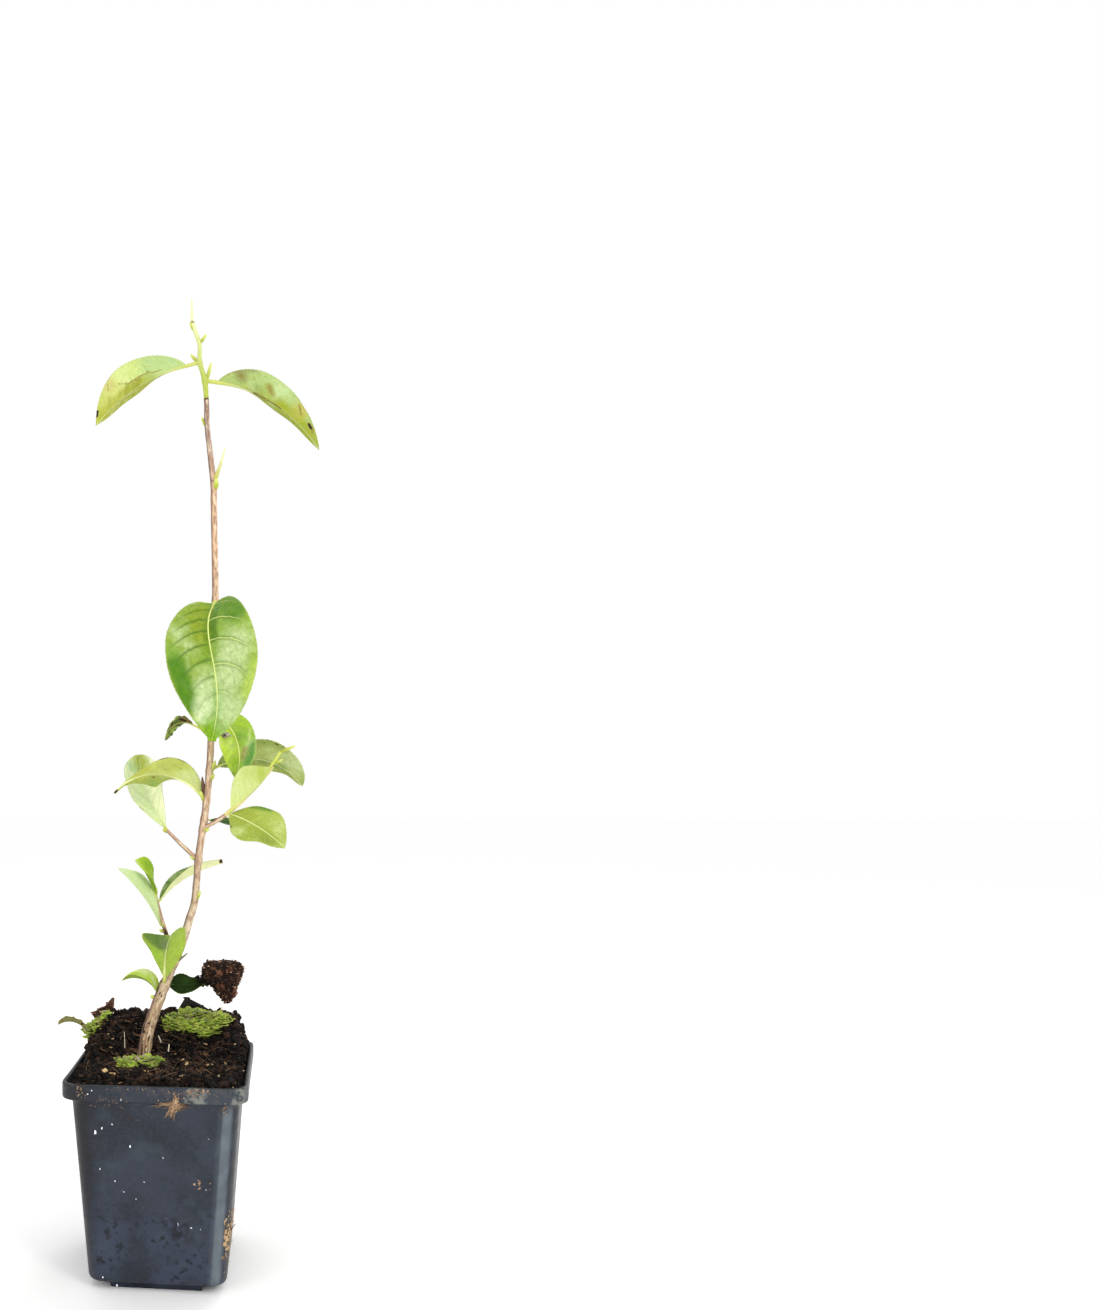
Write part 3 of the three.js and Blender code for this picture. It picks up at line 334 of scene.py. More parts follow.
         form=(3, 19, 5.5, 178, 62, 96, 0, 24, 20, 50, 0.6, 0.8, 0.5),
         tones=(0x7C7B48, 0x4A4A2A, 0xA3A070, 0x66663A, 0x706C3E, 0x5C5A34, 0x9A9468, 0x57543A),
         stalk=0x7B8250, pucker=0.4, ragged=0.6,
         marks=[((30, 50), 1.1, 0.9), ((60, -40), 0.9, 0.9), ((85, 40), 1.0, 0.8)]),
    dict(name="right_pale", twig="spray_right", share=0.04, seen="lower", freckles=0.15,
         form=(2.3, 37, 26, -30, 32, -8, -28, -11, -5, 57, 0.53, 0.8, 1.3),
         tones=(0xD0DE90, 0xB4C654, 0xDEEAA8, 0xE2EC9C, 0xBCCA5C, 0xD6E08C, 0xEAD694, 0xA9BC60),
         stalk=0xE2E87A, veins=0.22, thick=0.85, clouds=[(35, -60, 8, 0.3), (75, -40, 7, -0.8),
          (55, -80, 5, -0.5)],
         marks=[((62, -97, 72, -97), 0.7, 0.45)]),
    dict(name="right_low", twig="spray_right", share=0.03, seen="upper", freckles=0.08,
         form=(1.8, 36.5, 28, -37, -12, 28, 10, 34, -6, 4, 0.5, 0.7, 0.9),
         tones=(0xA8B850, 0x7C9028, 0xC6D488, 0x9CAA40, 0xA4B854, 0x94A434, 0xEEF4AC, 0xAFC37A),
         other=0x98AA3E, veins=0.14, rib_scale=1.5, pinch=[(0.72, -1, 0.16, 0.26), (0.12, -1, 0.12, 0.2)],
         clouds=[(75, -35, 6, -0.9), (70, 60, 7, 0.5)],
         tints_and_painted_light=[((35, -75), 4.5, 0.6, 0xCBD88C), ((20, 98, 42, 100), 2.2, 0.9, 0x5C8C2E),
          ((10, 30, 30, 30), 4, 0.6, 0x9CAA3C), ((55, -15, 80, -12), 2.2, 0.7, 0x92A636)],
         marks=[((44, 6, 49, 10), 0.55, 0.55), ((20, -100, 22, -95), 0.8, 0.95)]),
    dict(name="low_bright", twig="spray_low", share=0.8, seen="upper",
         form=(2, 20.6, 13.5, 200, 70, 16, -34, 8, -31, 22, 0.68, 0.76, 0.32),
         tones=(0xA6C81A, 0x7E9C22, 0xC6D84A, 0xB0C648, 0xA6C42A, 0xB8CC40, 0xDFEA90, 0x9DB84A),
         other=0x86AC22, veins=0.05, net=0, rib_scale=2),
    dict(name="low_behind", twig="spray_low", share=0.25, seen="lower", freckles=0.1,
         form=(1.7, 41, 13, 43, 42, 29, -39, 0, -12, 41, 0.46, 0.85, 0.5),
         tones=(0xF2F6BA, 0xD2DC98, 0xFAFCD4, 0xE4F0A6, 0xF2F2BE, 0xF6FAC0, 0xF6FAD6, 0x487426),
         veins=0.12, net=0.05, end=3.0,
         marks=[((98, -60, 98, 60), 1.3, 0.95)]),
]


# Curves and skins

def smoothstep(low, high, value):
    share = np.clip((value - low) / (high - low), 0, 1)
    return share * share * (3 - 2 * share)


def direction(heading, rise):
    """Unit vectors from compass headings and rises above level"""
    turn, lift = np.radians(heading), np.radians(rise)
    level = np.cos(lift)
    return np.stack([level * np.cos(turn), level * np.sin(turn), np.sin(lift) + 0 * turn], axis=-1)


def unit(vectors):
    return vectors / np.linalg.norm(vectors, axis=-1, keepdims=True)


def rough(points, size, octaves=4, shift=0.0):
    """Fractal noise at each point, with its largest lumps about size across"""
    places = np.asarray(points, float).reshape(-1, 3) / size + shift
    values = [noise.fractal(Vector(place), 1.0, 2.0, octaves) for place in places]
    return np.array(values).reshape(np.shape(points)[:-1])


def spline(bends, t):
    """Points and radii of a smooth curve through bends, at values from 0 to the last bend's number"""
    last = len(bends) - 1
    i = np.clip(np.floor(t).astype(int), 0, last - 1)
    u = (t - i)[:, None]
    a, b, c, d = (bends[np.clip(i + k, 0, last), :3] for k in (-1, 0, 1, 2))
    points = 0.5 * (2 * b + (c - a) * u + (2 * a - 5 * b + 4 * c - d) * u ** 2
                    + (3 * b - a - 3 * c + d) * u ** 3)
    return points, bends[i, 3] + (bends[i + 1, 3] - bends[i, 3]) * (t - i)


def stations(points):
    """How far along a line each of its points is"""
    return np.concatenate([[0], np.cumsum(np.linalg.norm(np.diff(points, axis=0), axis=1))])


def turns(sides):
    """Even angles once round"""
    return 2 * np.pi * np.arange(sides) / sides


def walk(bends, step):
    """The curve through bends in even steps"""
    return even(*spline(bends, np.linspace(0, len(bends) - 1, 60 * len(bends))), step)


def even(points, radii, step):
    far = stations(points)
    stops = np.linspace(0, far[-1], max(4, round(far[-1] / step)))
    places = [np.interp(stops, far, points[:, k]) for k in range(3)]
    return np.stack(places, axis=1), np.interp(stops, far, radii)


def at_height(bends, z):
    points, _ = spline(bends, np.linspace(0, len(bends) - 1, 4000))
    return points[np.argmin(abs(points[:, 2] - z))]


def run(start, heading, rise, bend, length, root, tip, steps=24):
    """A line from a point that starts at a heading and rise and bends by some degrees"""
    middle = (np.arange(steps) + 0.5) / steps
    moves = direction(np.full(steps, heading), rise + bend * middle) * length / steps
    points = np.concatenate([[start], start + np.cumsum(moves, axis=0)])
    return points, np.linspace(root, tip, steps + 1)


def tube_rings(points, radii, sides, relief=0.0):
    ahead = unit(np.gradient(points, axis=0))
    side = unit(np.array([0, 1, 0]) - ahead * ahead[:, 1:2])
    other = np.cross(ahead, side)
    angle = turns(sides)
    around = (np.cos(angle)[:, None] * side[:, None] + np.sin(angle)[:, None] * other[:, None])
    reach = np.broadcast_to(radii[:, None] + relief, around.shape[:2])
    return points[:, None] + around * reach[..., None]


class Shells:
    """Closed shells gathered into one mesh, with named values at their corners"""

    def __init__(self):
        self.points, self.faces, self.values, self.count = [], [], {}, 0

    def add(self, points, faces, **values):
        for name, value in values.items():
            filled = np.array(np.broadcast_to(value, len(points)), float)
            self.values.setdefault(name, []).append((self.count, filled))
        self.points.append(points)
        self.faces += [tuple(corner + self.count for corner in face) for face in faces]
        self.count += len(points)

    def skin(self, rings, **grids):
        """A closed skin over rings of points, with values that fit rows by sides"""
        count, sides = rings.shape[:2]
        corner = np.arange(count * sides).reshape(count, sides)
        after = np.roll(corner, -1, axis=1)
        walls = np.stack([corner[:-1], after[:-1], after[1:], corner[1:]], axis=-1).reshape(-1, 4)
        start, end = count * sides, count * sides + 1
        caps = [(start, b, a) for a, b in zip(corner[0], after[0])]
        caps += [(end, a, b) for a, b in zip(corner[-1], after[-1])]
        for name, value in grids.items():
            grid = np.broadcast_to(value, (count, sides))
            grids[name] = np.concatenate([grid.ravel(), [grid[0].mean(), grid[-1].mean()]])
        middles = [rings[0].mean(axis=0), rings[-1].mean(axis=0)]
        self.add(np.concatenate([rings.reshape(-1, 3), middles]), walls.tolist() + caps, **grids)
        return self

    def copies(self, copies, faces, **values):
        """Many shells of the same faces: copies by corners by xyz, and values by copy or by corner"""
        number, corners = copies.shape[:2]
        spread = (np.asarray(faces)[None] + corners * np.arange(number)[:, None, None])
        spread = spread.reshape(-1, len(faces[0])).tolist()
        values = {name: value if len(value) > number else np.repeat(value, corners)
                  for name, value in values.items()}
        self.add(copies.reshape(-1, 3), spread, **values)
        return self

    def piece(self, name, material, slot="compost", stands_for=(), smooth=True):
        mesh = bpy.data.meshes.new(name)
        mesh.from_pydata((np.concatenate(self.points) * MM).tolist(), [], self.faces)
        for key, parts in self.values.items():
            column = np.zeros(self.count, np.float32)
            for first, part in parts:
                column[first:first + len(part)] = part
            mesh.attributes.new(key, "FLOAT", "POINT").data.foreach_set("value", column)
        mesh.polygons.foreach_set("use_smooth", [smooth] * len(mesh.polygons))
        mesh.materials.append(material)
        thing = bpy.data.objects.new(name, mesh)
        bpy.context.scene.collection.objects.link(thing)
        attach(thing, "root")
        if stands_for:
            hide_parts(*stands_for)
        return thing

    def faceted(self, name, material, slot="compost", stands_for=()):
        return self.piece(name, material, slot, stands_for, smooth=False)


# Materials

class Graph:
    """A material whose node tree grows by calls that return sockets. Its colour is laid over in
    layers, and a colour is a socket or 0xRRGGBB"""

    def __init__(self, name, roughness=0.5, **constants):
        self.material = bpy.data.materials.new(name)
        self.material.use_nodes = True
        self.tree = self.material.node_tree
        self.shader = self.tree.nodes["Principled BSDF"]
        self.plug("Roughness", roughness)
        for socket, value in constants.items():
            self.shader.inputs[socket.replace("_", " ")].default_value = value
        self.place = self.node("TexCoord").outputs["Object"]

    def node(self, kind, **settings):
        node = self.tree.nodes.new("ShaderNode" + kind)
        for key, value in settings.items():
            setattr(node, key, value)
        return node

    def set(self, socket, value):
        if isinstance(value, bpy.types.NodeSocket):
            self.tree.links.new(value, socket)
        else:
            socket.default_value = value

    def plug(self, name, value):
        self.set(self.shader.inputs[name], value)

    def math(self, operation, *values):
        node = self.node("Math", operation=operation)
        for socket, value in zip(node.inputs, values):
            self.set(socket, value)
        return node.outputs[0]

    def plus(self, a, b):
        return self.math("ADD", a, b)

    def minus(self, a, b):
        return self.math("SUBTRACT", a, b)

    def times(self, first, *others):
        for other in others:
            first = self.math("MULTIPLY", first, other)
        return first

    def scaled(self, value, factor, more):
        return self.math("MULTIPLY_ADD", value, factor, more)

    def off(self, value, middle):
        return self.math("ABSOLUTE", self.minus(value, middle))

    def frayed(self, value, grain, amount):
        """A value whose edge is made uneven by some grain"""
        return self.plus(value, self.scaled(grain, amount, -amount / 2))

    def ramp(self, value, low, high, start=0.0, end=1.0):
        node = self.node("MapRange", interpolation_type="SMOOTHSTEP")
        for socket, given in zip(node.inputs, (value, low, high, start, end)):
            self.set(socket, given)
        return node.outputs[0]

    def near(self, value, middle, full, none):
        return self.ramp(self.off(value, middle), full, none, 1.0, 0.0)

    def mix(self, share, a, b):
        node = self.node("Mix", data_type="RGBA")
        self.set(node.inputs[0], share)
        for slot, colour in ((6, a), (7, b)):
            self.set(node.inputs[slot], paint(colour) if isinstance(colour, int) else colour)
        return node.outputs[2]

    def over(self, colour, share):
        """Lay a colour over the colour so far"""
        self.colour = self.mix(share, self.colour, colour)

    def lay(self, colour, value, low, high, most=1.0):
        """Lay a colour over the colour so far, from none at one value to the most at another"""
        self.over(colour, self.ramp(value, low, high, 0.0, most))

    def value(self, name):
        return self.node("Attribute", attribute_name=name).outputs["Fac"]

    def joined(self, kind, names):
        """Three values of the mesh as one colour or place"""
        node = self.node(kind)
        for socket, name in zip(node.inputs, names):
            self.set(socket, self.value(name))
        return node.outputs[0]

    def noise(self, size, detail=4, roughness=0.55, place=None):
        """Fractal noise from 0 to 1 with lumps about size mm across"""
        node = self.node("TexNoise")
        self.set(node.inputs["Vector"], place or self.place)
        node.inputs["Scale"].default_value = 1 / (size * MM)
        node.inputs["Detail"].default_value = detail
        node.inputs["Roughness"].default_value = roughness
        return node.outputs["Fac"]

    def cells(self, size, feature="F1"):
        """Distance to the middle or the edge of cells about size mm across, in cells"""
        node = self.node("TexVoronoi", feature=feature)
        self.set(node.inputs["Vector"], self.place)
        node.inputs["Scale"].default_value = 1 / (size * MM)
        return node.outputs["Distance"]

    def bands(self, value, stops):
        """Colours along a value, from stops of (place, colour)"""
        node = self.node("ValToRGB")
        self.set(node.inputs[0], value)
        ramp = node.color_ramp
        while len(ramp.elements) < len(stops):
            ramp.elements.new(0.5)
        for element, (place, colour) in zip(ramp.elements, stops):
            element.position = place
            element.color = paint(colour)
        return node.outputs["Color"]

    def done(self, roughness, height, depth, strength):
        """The material, with its colour, roughness and relief up to depth mm"""
        self.plug("Base Color", self.colour)
        self.plug("Roughness", roughness)
        node = self.node("Bump")
        node.inputs["Strength"].default_value = strength
        node.inputs["Distance"].default_value = depth * MM
        self.set(node.inputs["Height"], height)
        self.plug("Normal", node.outputs["Normal"])
        return self.material


TINT_PARTS = ("tint_red", "tint_green", "tint_blue")
RIM_TONE, FRECKLE_TONE = 0xB7C05A, 0x7A6A34
MARK_TONE, MARK_HEART = 0x93853C, 0x2E2213
PETIOLE_TONE, PETIOLE_FLUSH = 0xD2D878, 0xB9BF58


def leaf_material(leaf):
    g = Graph(leaf["piece"], Specular_IOR_Level=leaf.get("sheen", 0.22), Subsurface_Weight=0.08,
              Subsurface_Scale=0.0008, Subsurface_Radius=(0.8, 1.0, 0.2))
    along, across, upper = g.value("along"), g.value("across"), g.value("upper")
    out = g.math("ABSOLUTE", across)
    deep, pale, rib_tone, veins = leaf["deep"], leaf["pale"], leaf["rib"], leaf.get("veins", 0.25)
    creased = leaf.get("creased", False)

    # Lamina: its two halves, partly painted light and shade, inner edge, foot and tip, soft patches of
    # painted light and shade, and tints, some of them painted glare and sheen
    g.colour = leaf["lamina"]
    # The half at negative shares: partly its own colour, partly painted light and shade
    if "other" in leaf:
        g.colour = g.mix(g.ramp(across, -0.05, 0.05), leaf["other"], leaf["lamina"])
    g.over(leaf["inner"], g.ramp(out, 0.05, 0.4, 0.6, 0.0))
    g.over(leaf["near"], g.ramp(along, 0.0, 0.28, 0.8, 0.0))
    g.lay(leaf["far"], along, 0.75, 1.0, 0.8)
    cloud = g.frayed(g.value("cloud"), g.noise(6, 4), 0.9)
    g.lay(pale, cloud, 0.0, 1.0)
    g.lay(deep, cloud, 0.0, -1.0)
    g.lay(pale, g.noise(4.5, 3), 0.5, 0.72, 0.3)
    uneven = g.scaled(g.noise(3, 4), 0.8, 0.6)
    g.over(g.joined("CombineColor", TINT_PARTS), g.times(g.value("tint"), uneven))
    g.lay(deep, g.noise(1.7, 3, 0.6), 0.4, 0.7, 0.26)
    back = g.mix(g.ramp(g.noise(6, 4), 0.35, 0.7, 0.0, 0.5), leaf["back"], deep)
    g.colour = g.mix(upper if leaf["seen"] == "upper" else g.minus(1.0, upper), back, g.colour)

    # Side veins with painted shade beside them, fine net, midrib and rim; on the creased leaf the veins
    # and net are painted dark as shade in their folds
    off_vein = g.minus(0.5, g.off(g.math("FRACT", g.value("phase")), 0.5))
    fade = g.ramp(out, 0.6, 0.97, 1.0, 0.0)
    vein_tone = rib_tone
    if creased:
        fade = g.times(fade, g.ramp(along, *VEINS_FADE))
        vein_tone = g.mix(g.ramp(across, -0.05, 0.05), deep, rib_tone)
    g.over(deep, g.times(g.ramp(off_vein, 0.02, 0.16 if creased else 0.24, veins, 0.0), fade))
    g.over(vein_tone, g.times(g.ramp(off_vein, 0.012, 0.04, veins, 0.0), fade))
    net = g.ramp(g.cells(leaf.get("net_size", 1.5), "DISTANCE_TO_EDGE"), 0.0, 0.12, 1.0, 0.0)
    g.over(deep if creased else rib_tone, g.times(net, leaf.get("net", 0.14)))
    widest_rib = 0.0065 * leaf["length"] * leaf.get("rib_scale", 1)
    rib_width = g.math("MAXIMUM", g.scaled(along, -0.7 * widest_rib, widest_rib), 0.12)
    off_rib = g.math("DIVIDE", g.math("ABSOLUTE", g.value("off_rib")), rib_width)
    g.over(rib_tone, g.ramp(off_rib, 0.7, 1.3, 1.0, 0.0))
    g.lay(RIM_TONE, out, 0.96, 1.0, 0.4)

    # Freckles, and brown marks with dark hearts
    if leaf.get("freckles"):
        spots = g.ramp(g.noise(0.8, 2, 0.5), 0.66, 0.72, 0.0, leaf["freckles"])
        g.over(FRECKLE_TONE, g.times(spots, g.ramp(g.noise(7, 2), 0.4, 0.6)))
    ragged = g.frayed(g.value("blot"), g.noise(0.9, 3), 0.7)
    g.lay(MARK_TONE, ragged, 0.3, 0.6, 0.75)
    g.lay(MARK_HEART, ragged, 0.62, 0.85)
    petiole = g.mix(g.noise(2, 3), leaf.get("stalk", PETIOLE_TONE), PETIOLE_FLUSH)
    g.over(petiole, g.value("stalk"))

    gloss = leaf.get("gloss", 0.4)
    shine = g.ramp(upper, 0.0, 1.0, gloss + 0.2, gloss)
    height = g.minus(g.times(g.noise(0.6, 3), 0.4), net)
    return g.done(g.scaled(g.noise(2.5, 4), 0.16, shine), height, 0.12, 0.5)


def bark_material():
    g = Graph("bark", 0.75)
    skin = g.joined("CombineXYZ", ("wrap_x", "wrap_y", "course"))
    height = g.math("DIVIDE", g.minus(g.value("height"), 100.0), 342.0)
    g.colour = g.bands(height, [(0.0, 0x6A4F38), (0.03, 0xA8845C), (0.1, 0xC6AC86), (0.2, 0xDAC6A6),
                                (0.32, 0xD2B292), (0.6, 0xE0BE9E), (0.86, 0xDBB692), (0.93, 0xB09686),
                                (1.0, 0x8F7868)])
    streaks = g.noise(0.9, 5, 0.65, skin)
    g.lay(0x86624A, streaks, 0.46, 0.62, 0.7)
    g.lay(0xEBD8BA, g.noise(1.4, 4, 0.6, skin), 0.52, 0.62, 0.75)
    g.lay(0xA98474, g.noise(4, 3), 0.54, 0.68, 0.6)
    g.lay(0x66483C, g.value("shady"), 0.1, 0.95, 0.85)
    g.over(0x6A4A34, g.ramp(g.cells(1.7), 0.08, 0.16, 0.5, 0.0))
    crack = g.frayed(g.value("crack"), g.noise(0.5, 3, 0.6, skin), 0.6)
    g.lay(0x35241A, crack, 0.3, 0.6, 0.92)
    g.lay(0x2A1D14, g.value("scar"), 0.2, 0.7)
    fine = g.plus(g.noise(0.45, 4, 0.6, skin), g.times(crack, -0.5))
    return g.done(g.ramp(streaks, 0.3, 0.7, 0.62, 0.9), fine, 0.25, 0.7)


def shoot_material(name, low, high, flush):
    """Soft green stem, from its colour at the root to that at the tip, flushed brown in places"""
    g = Graph(name, Subsurface_Weight=0.1, Subsurface_Scale=0.0006)
    g.colour = g.mix(g.ramp(g.value("along"), 0.1, 0.9), low, high)
    g.lay(flush, g.noise(2.5, 4), 0.5, 0.75, 0.55)
    g.over(0x6B4A2C, g.value("ring"))
    stretched = g.node("Mapping")
    g.set(stretched.inputs["Vector"], g.place)
    stretched.inputs["Scale"].default_value = (1, 1, 0.2)
    ridges = g.noise(0.6, 3, 0.5, stretched.outputs[0])
    return g.done(g.ramp(ridges, 0.3, 0.7, 0.42, 0.6), ridges, 0.12, 0.6)


def compost_material(name, dark, middle, light):
    g = Graph(name, 0.9, Specular_IOR_Level=0.2)
    lumps = g.noise(1.4, 5, 0.7)
    g.colour = g.mix(g.ramp(lumps, 0.46, 0.76), dark, middle)
    g.lay(light, g.noise(4, 4), 0.55, 0.68, 0.75)
    g.lay(0x8C6A48, g.noise(0.6, 2), 0.7, 0.76, 0.5)
    g.lay(light, g.value("tone"), 0.6, 1.0, 0.85)
    return g.done(g.ramp(lumps, 0.3, 0.7, 0.95, 0.75), g.noise(0.5, 6, 0.7), 0.5, 0.9)


def litter_material(name, dark, light, roughness=0.85):
    """Chips, fibres and slivers, each with a tone of its own"""
    g = Graph(name, roughness)
    grain = g.noise(0.8, 4, 0.6)
    g.colour = g.mix(g.value("tone"), dark, light)
    g.lay(dark, grain, 0.5, 0.75, 0.5)
    return g.done(g.ramp(grain, 0.3, 0.7, roughness - 0.1, roughness + 0.1), grain, 0.2, 0.7)


def moss_material():
    g = Graph("moss_green", 0.6, Specular_IOR_Level=0.3)
    g.colour = g.mix(g.value("tone"), 0x44640A, 0xAECC34)
    g.lay(0xC2C45C, g.noise(4, 3), 0.48, 0.62, 0.7)
    g.lay(0xC4D270, g.value("edge"), 0.6, 1.0, 0.4)
    g.lay(0x5E4620, g.noise(2.2, 3), 0.6, 0.7, 0.7)
    return g.done(g.ramp(g.noise(1, 3), 0.3, 0.7, 0.45, 0.75), g.noise(0.5, 4, 0.7), 0.25, 0.6)


def pot_material():
    g = Graph("pot_plastic", 0.4, Specular_IOR_Level=0.3)
    apart = g.node("SeparateXYZ")
    g.set(apart.inputs[0], g.place)
    sideways, height = apart.outputs["X"], apart.outputs["Z"]

    # The body, with its bloom low down, dark blobs in it, painted shade down its left edge and one dark
    # patch
    g.colour = g.mix(g.ramp(g.noise(30, 4), 0.4, 0.62), 0x1B2029, 0x2A303C)
    bloom = g.times(g.ramp(g.noise(20, 4), 0.38, 0.58), g.ramp(height, 0.025, 0.062, 1.0, 0.0))
    g.over(0x323A4E, g.times(bloom, 0.65))
    g.lay(0x36424A, g.noise(17, 2), 0.56, 0.7, 0.5)
    g.lay(0x3D4456, g.noise(1.5, 4, 0.7), 0.35, 0.75, 0.3)
    blobs = g.times(g.ramp(g.noise(3.4, 4, 0.6), 0.53, 0.61), bloom)
    g.over(0x11131A, g.times(blobs, 0.9))
    # Painted shade down the left side
    g.lay(0x120F0E, sideways, -0.026, -0.036, 0.8)
    patch = g.times(g.near(sideways, 0.011, 0.003, 0.01), g.near(height, 0.032, 0.002, 0.009))
    g.over(0x12141B, g.times(patch, g.ramp(g.noise(4, 4), 0.4, 0.56), 0.85))
    g.over(0x2B2D2B, g.value("side"))
    # Pale strip down two corners: a painted reflection, made rougher
    g.over(0x6C757C, g.value("worn"))

    # The collar, with haze to the right, two pale smears and a smear of compost under the rim
    collar = g.ramp(height, (COLLAR_FOOT - 1) * MM, COLLAR_FOOT * MM)
    rightward = g.plus(sideways, g.times(g.noise(8, 4), 0.02))
    g.over(0x3A424A, g.times(collar, g.ramp(rightward, 0.02, 0.034, 0.1, 0.6)))
    for middle, reach in ((0.0205, 0.0065), (0.0405, 0.0045)):
        uneven = g.ramp(g.noise(3, 5, 0.65), 0.4, 0.58, 0.0, 0.85)
        g.over(0x7E8078, g.times(collar, g.near(sideways, middle, 0.5 * reach, reach), uneven))
    smear = g.times(g.ramp(g.noise(6, 5, 0.7), 0.52, 0.66), g.ramp(height, 0.088, 0.1))
    g.over(0x55504A, g.times(smear, 0.35))
    g.over(0x0E0F12, g.value("mouth"))
    roughness = g.plus(g.ramp(g.noise(4, 5, 0.65), 0.3, 0.7, 0.32, 0.5), g.times(g.value("worn"), 0.3))
    return g.done(roughness, g.plus(g.noise(1.2, 4, 0.6), blobs), 0.1, 0.35)


# Leaves

def leaf_frames(leaf, s):
    """The blade's directions ahead, sideways and off its upper face, at shares s of its length"""
    roll = np.radians(leaf["roll"] + leaf["twist"] * s)[:, None]
    heading = leaf["heading"] + leaf["turn"] * s
    ahead = direction(heading, leaf["rise"] - leaf["droop"] * s)
    level = direction(heading + 90, 0 * s)
    up = np.cross(ahead, level)
    return ahead, level * np.cos(roll) + up * np.sin(roll), up * np.cos(roll) - level * np.sin(roll)


def half_width(leaf, s):
    before = s < leaf["widest"]
    share = np.where(before, s / leaf["widest"], (1 - s) / (1 - leaf["widest"]))
    power = np.where(before, leaf["base"], leaf["tip"])
    shape = np.sin(np.pi / 2 * np.clip(share, 0, 1)) ** power
    end = np.where(before, BLADE_END_HALF, leaf.get("end", BLADE_END_HALF))
    return np.maximum(end, leaf["width"] / 2 * shape)


def midline(leaf, start, s):
    steps = len(s) - 1
    ahead, _, _ = leaf_frames(leaf, (np.arange(steps) + 0.5) / steps)
    root = start + direction(leaf["heading"], leaf["rise"]) * leaf["petiole"] + leaf.get("shift", 0)
    return np.concatenate([[root], root + np.cumsum(ahead * leaf["length"] / steps, axis=0)])


def near_places(surface, places, step=0.4):
    """How far each corner of a surface is from a path through places on it, in mm"""
    rows, columns = surface.shape[:2]
    stops = [surface[round(s / 100 * (rows - 1)), round((1 - t / 100) / 2 * (columns - 1))]
             for s, t in zip(places[::2], places[1::2])]
    path = [stops[0]]
    for a, b in zip(stops, stops[1:]):
        pieces = max(1, round(np.linalg.norm(b - a) / step))
        path += [a + (b - a) * k / pieces for k in range(1, pieces + 1)]
    return np.min([np.linalg.norm(surface - point, axis=-1) for point in path], axis=0)


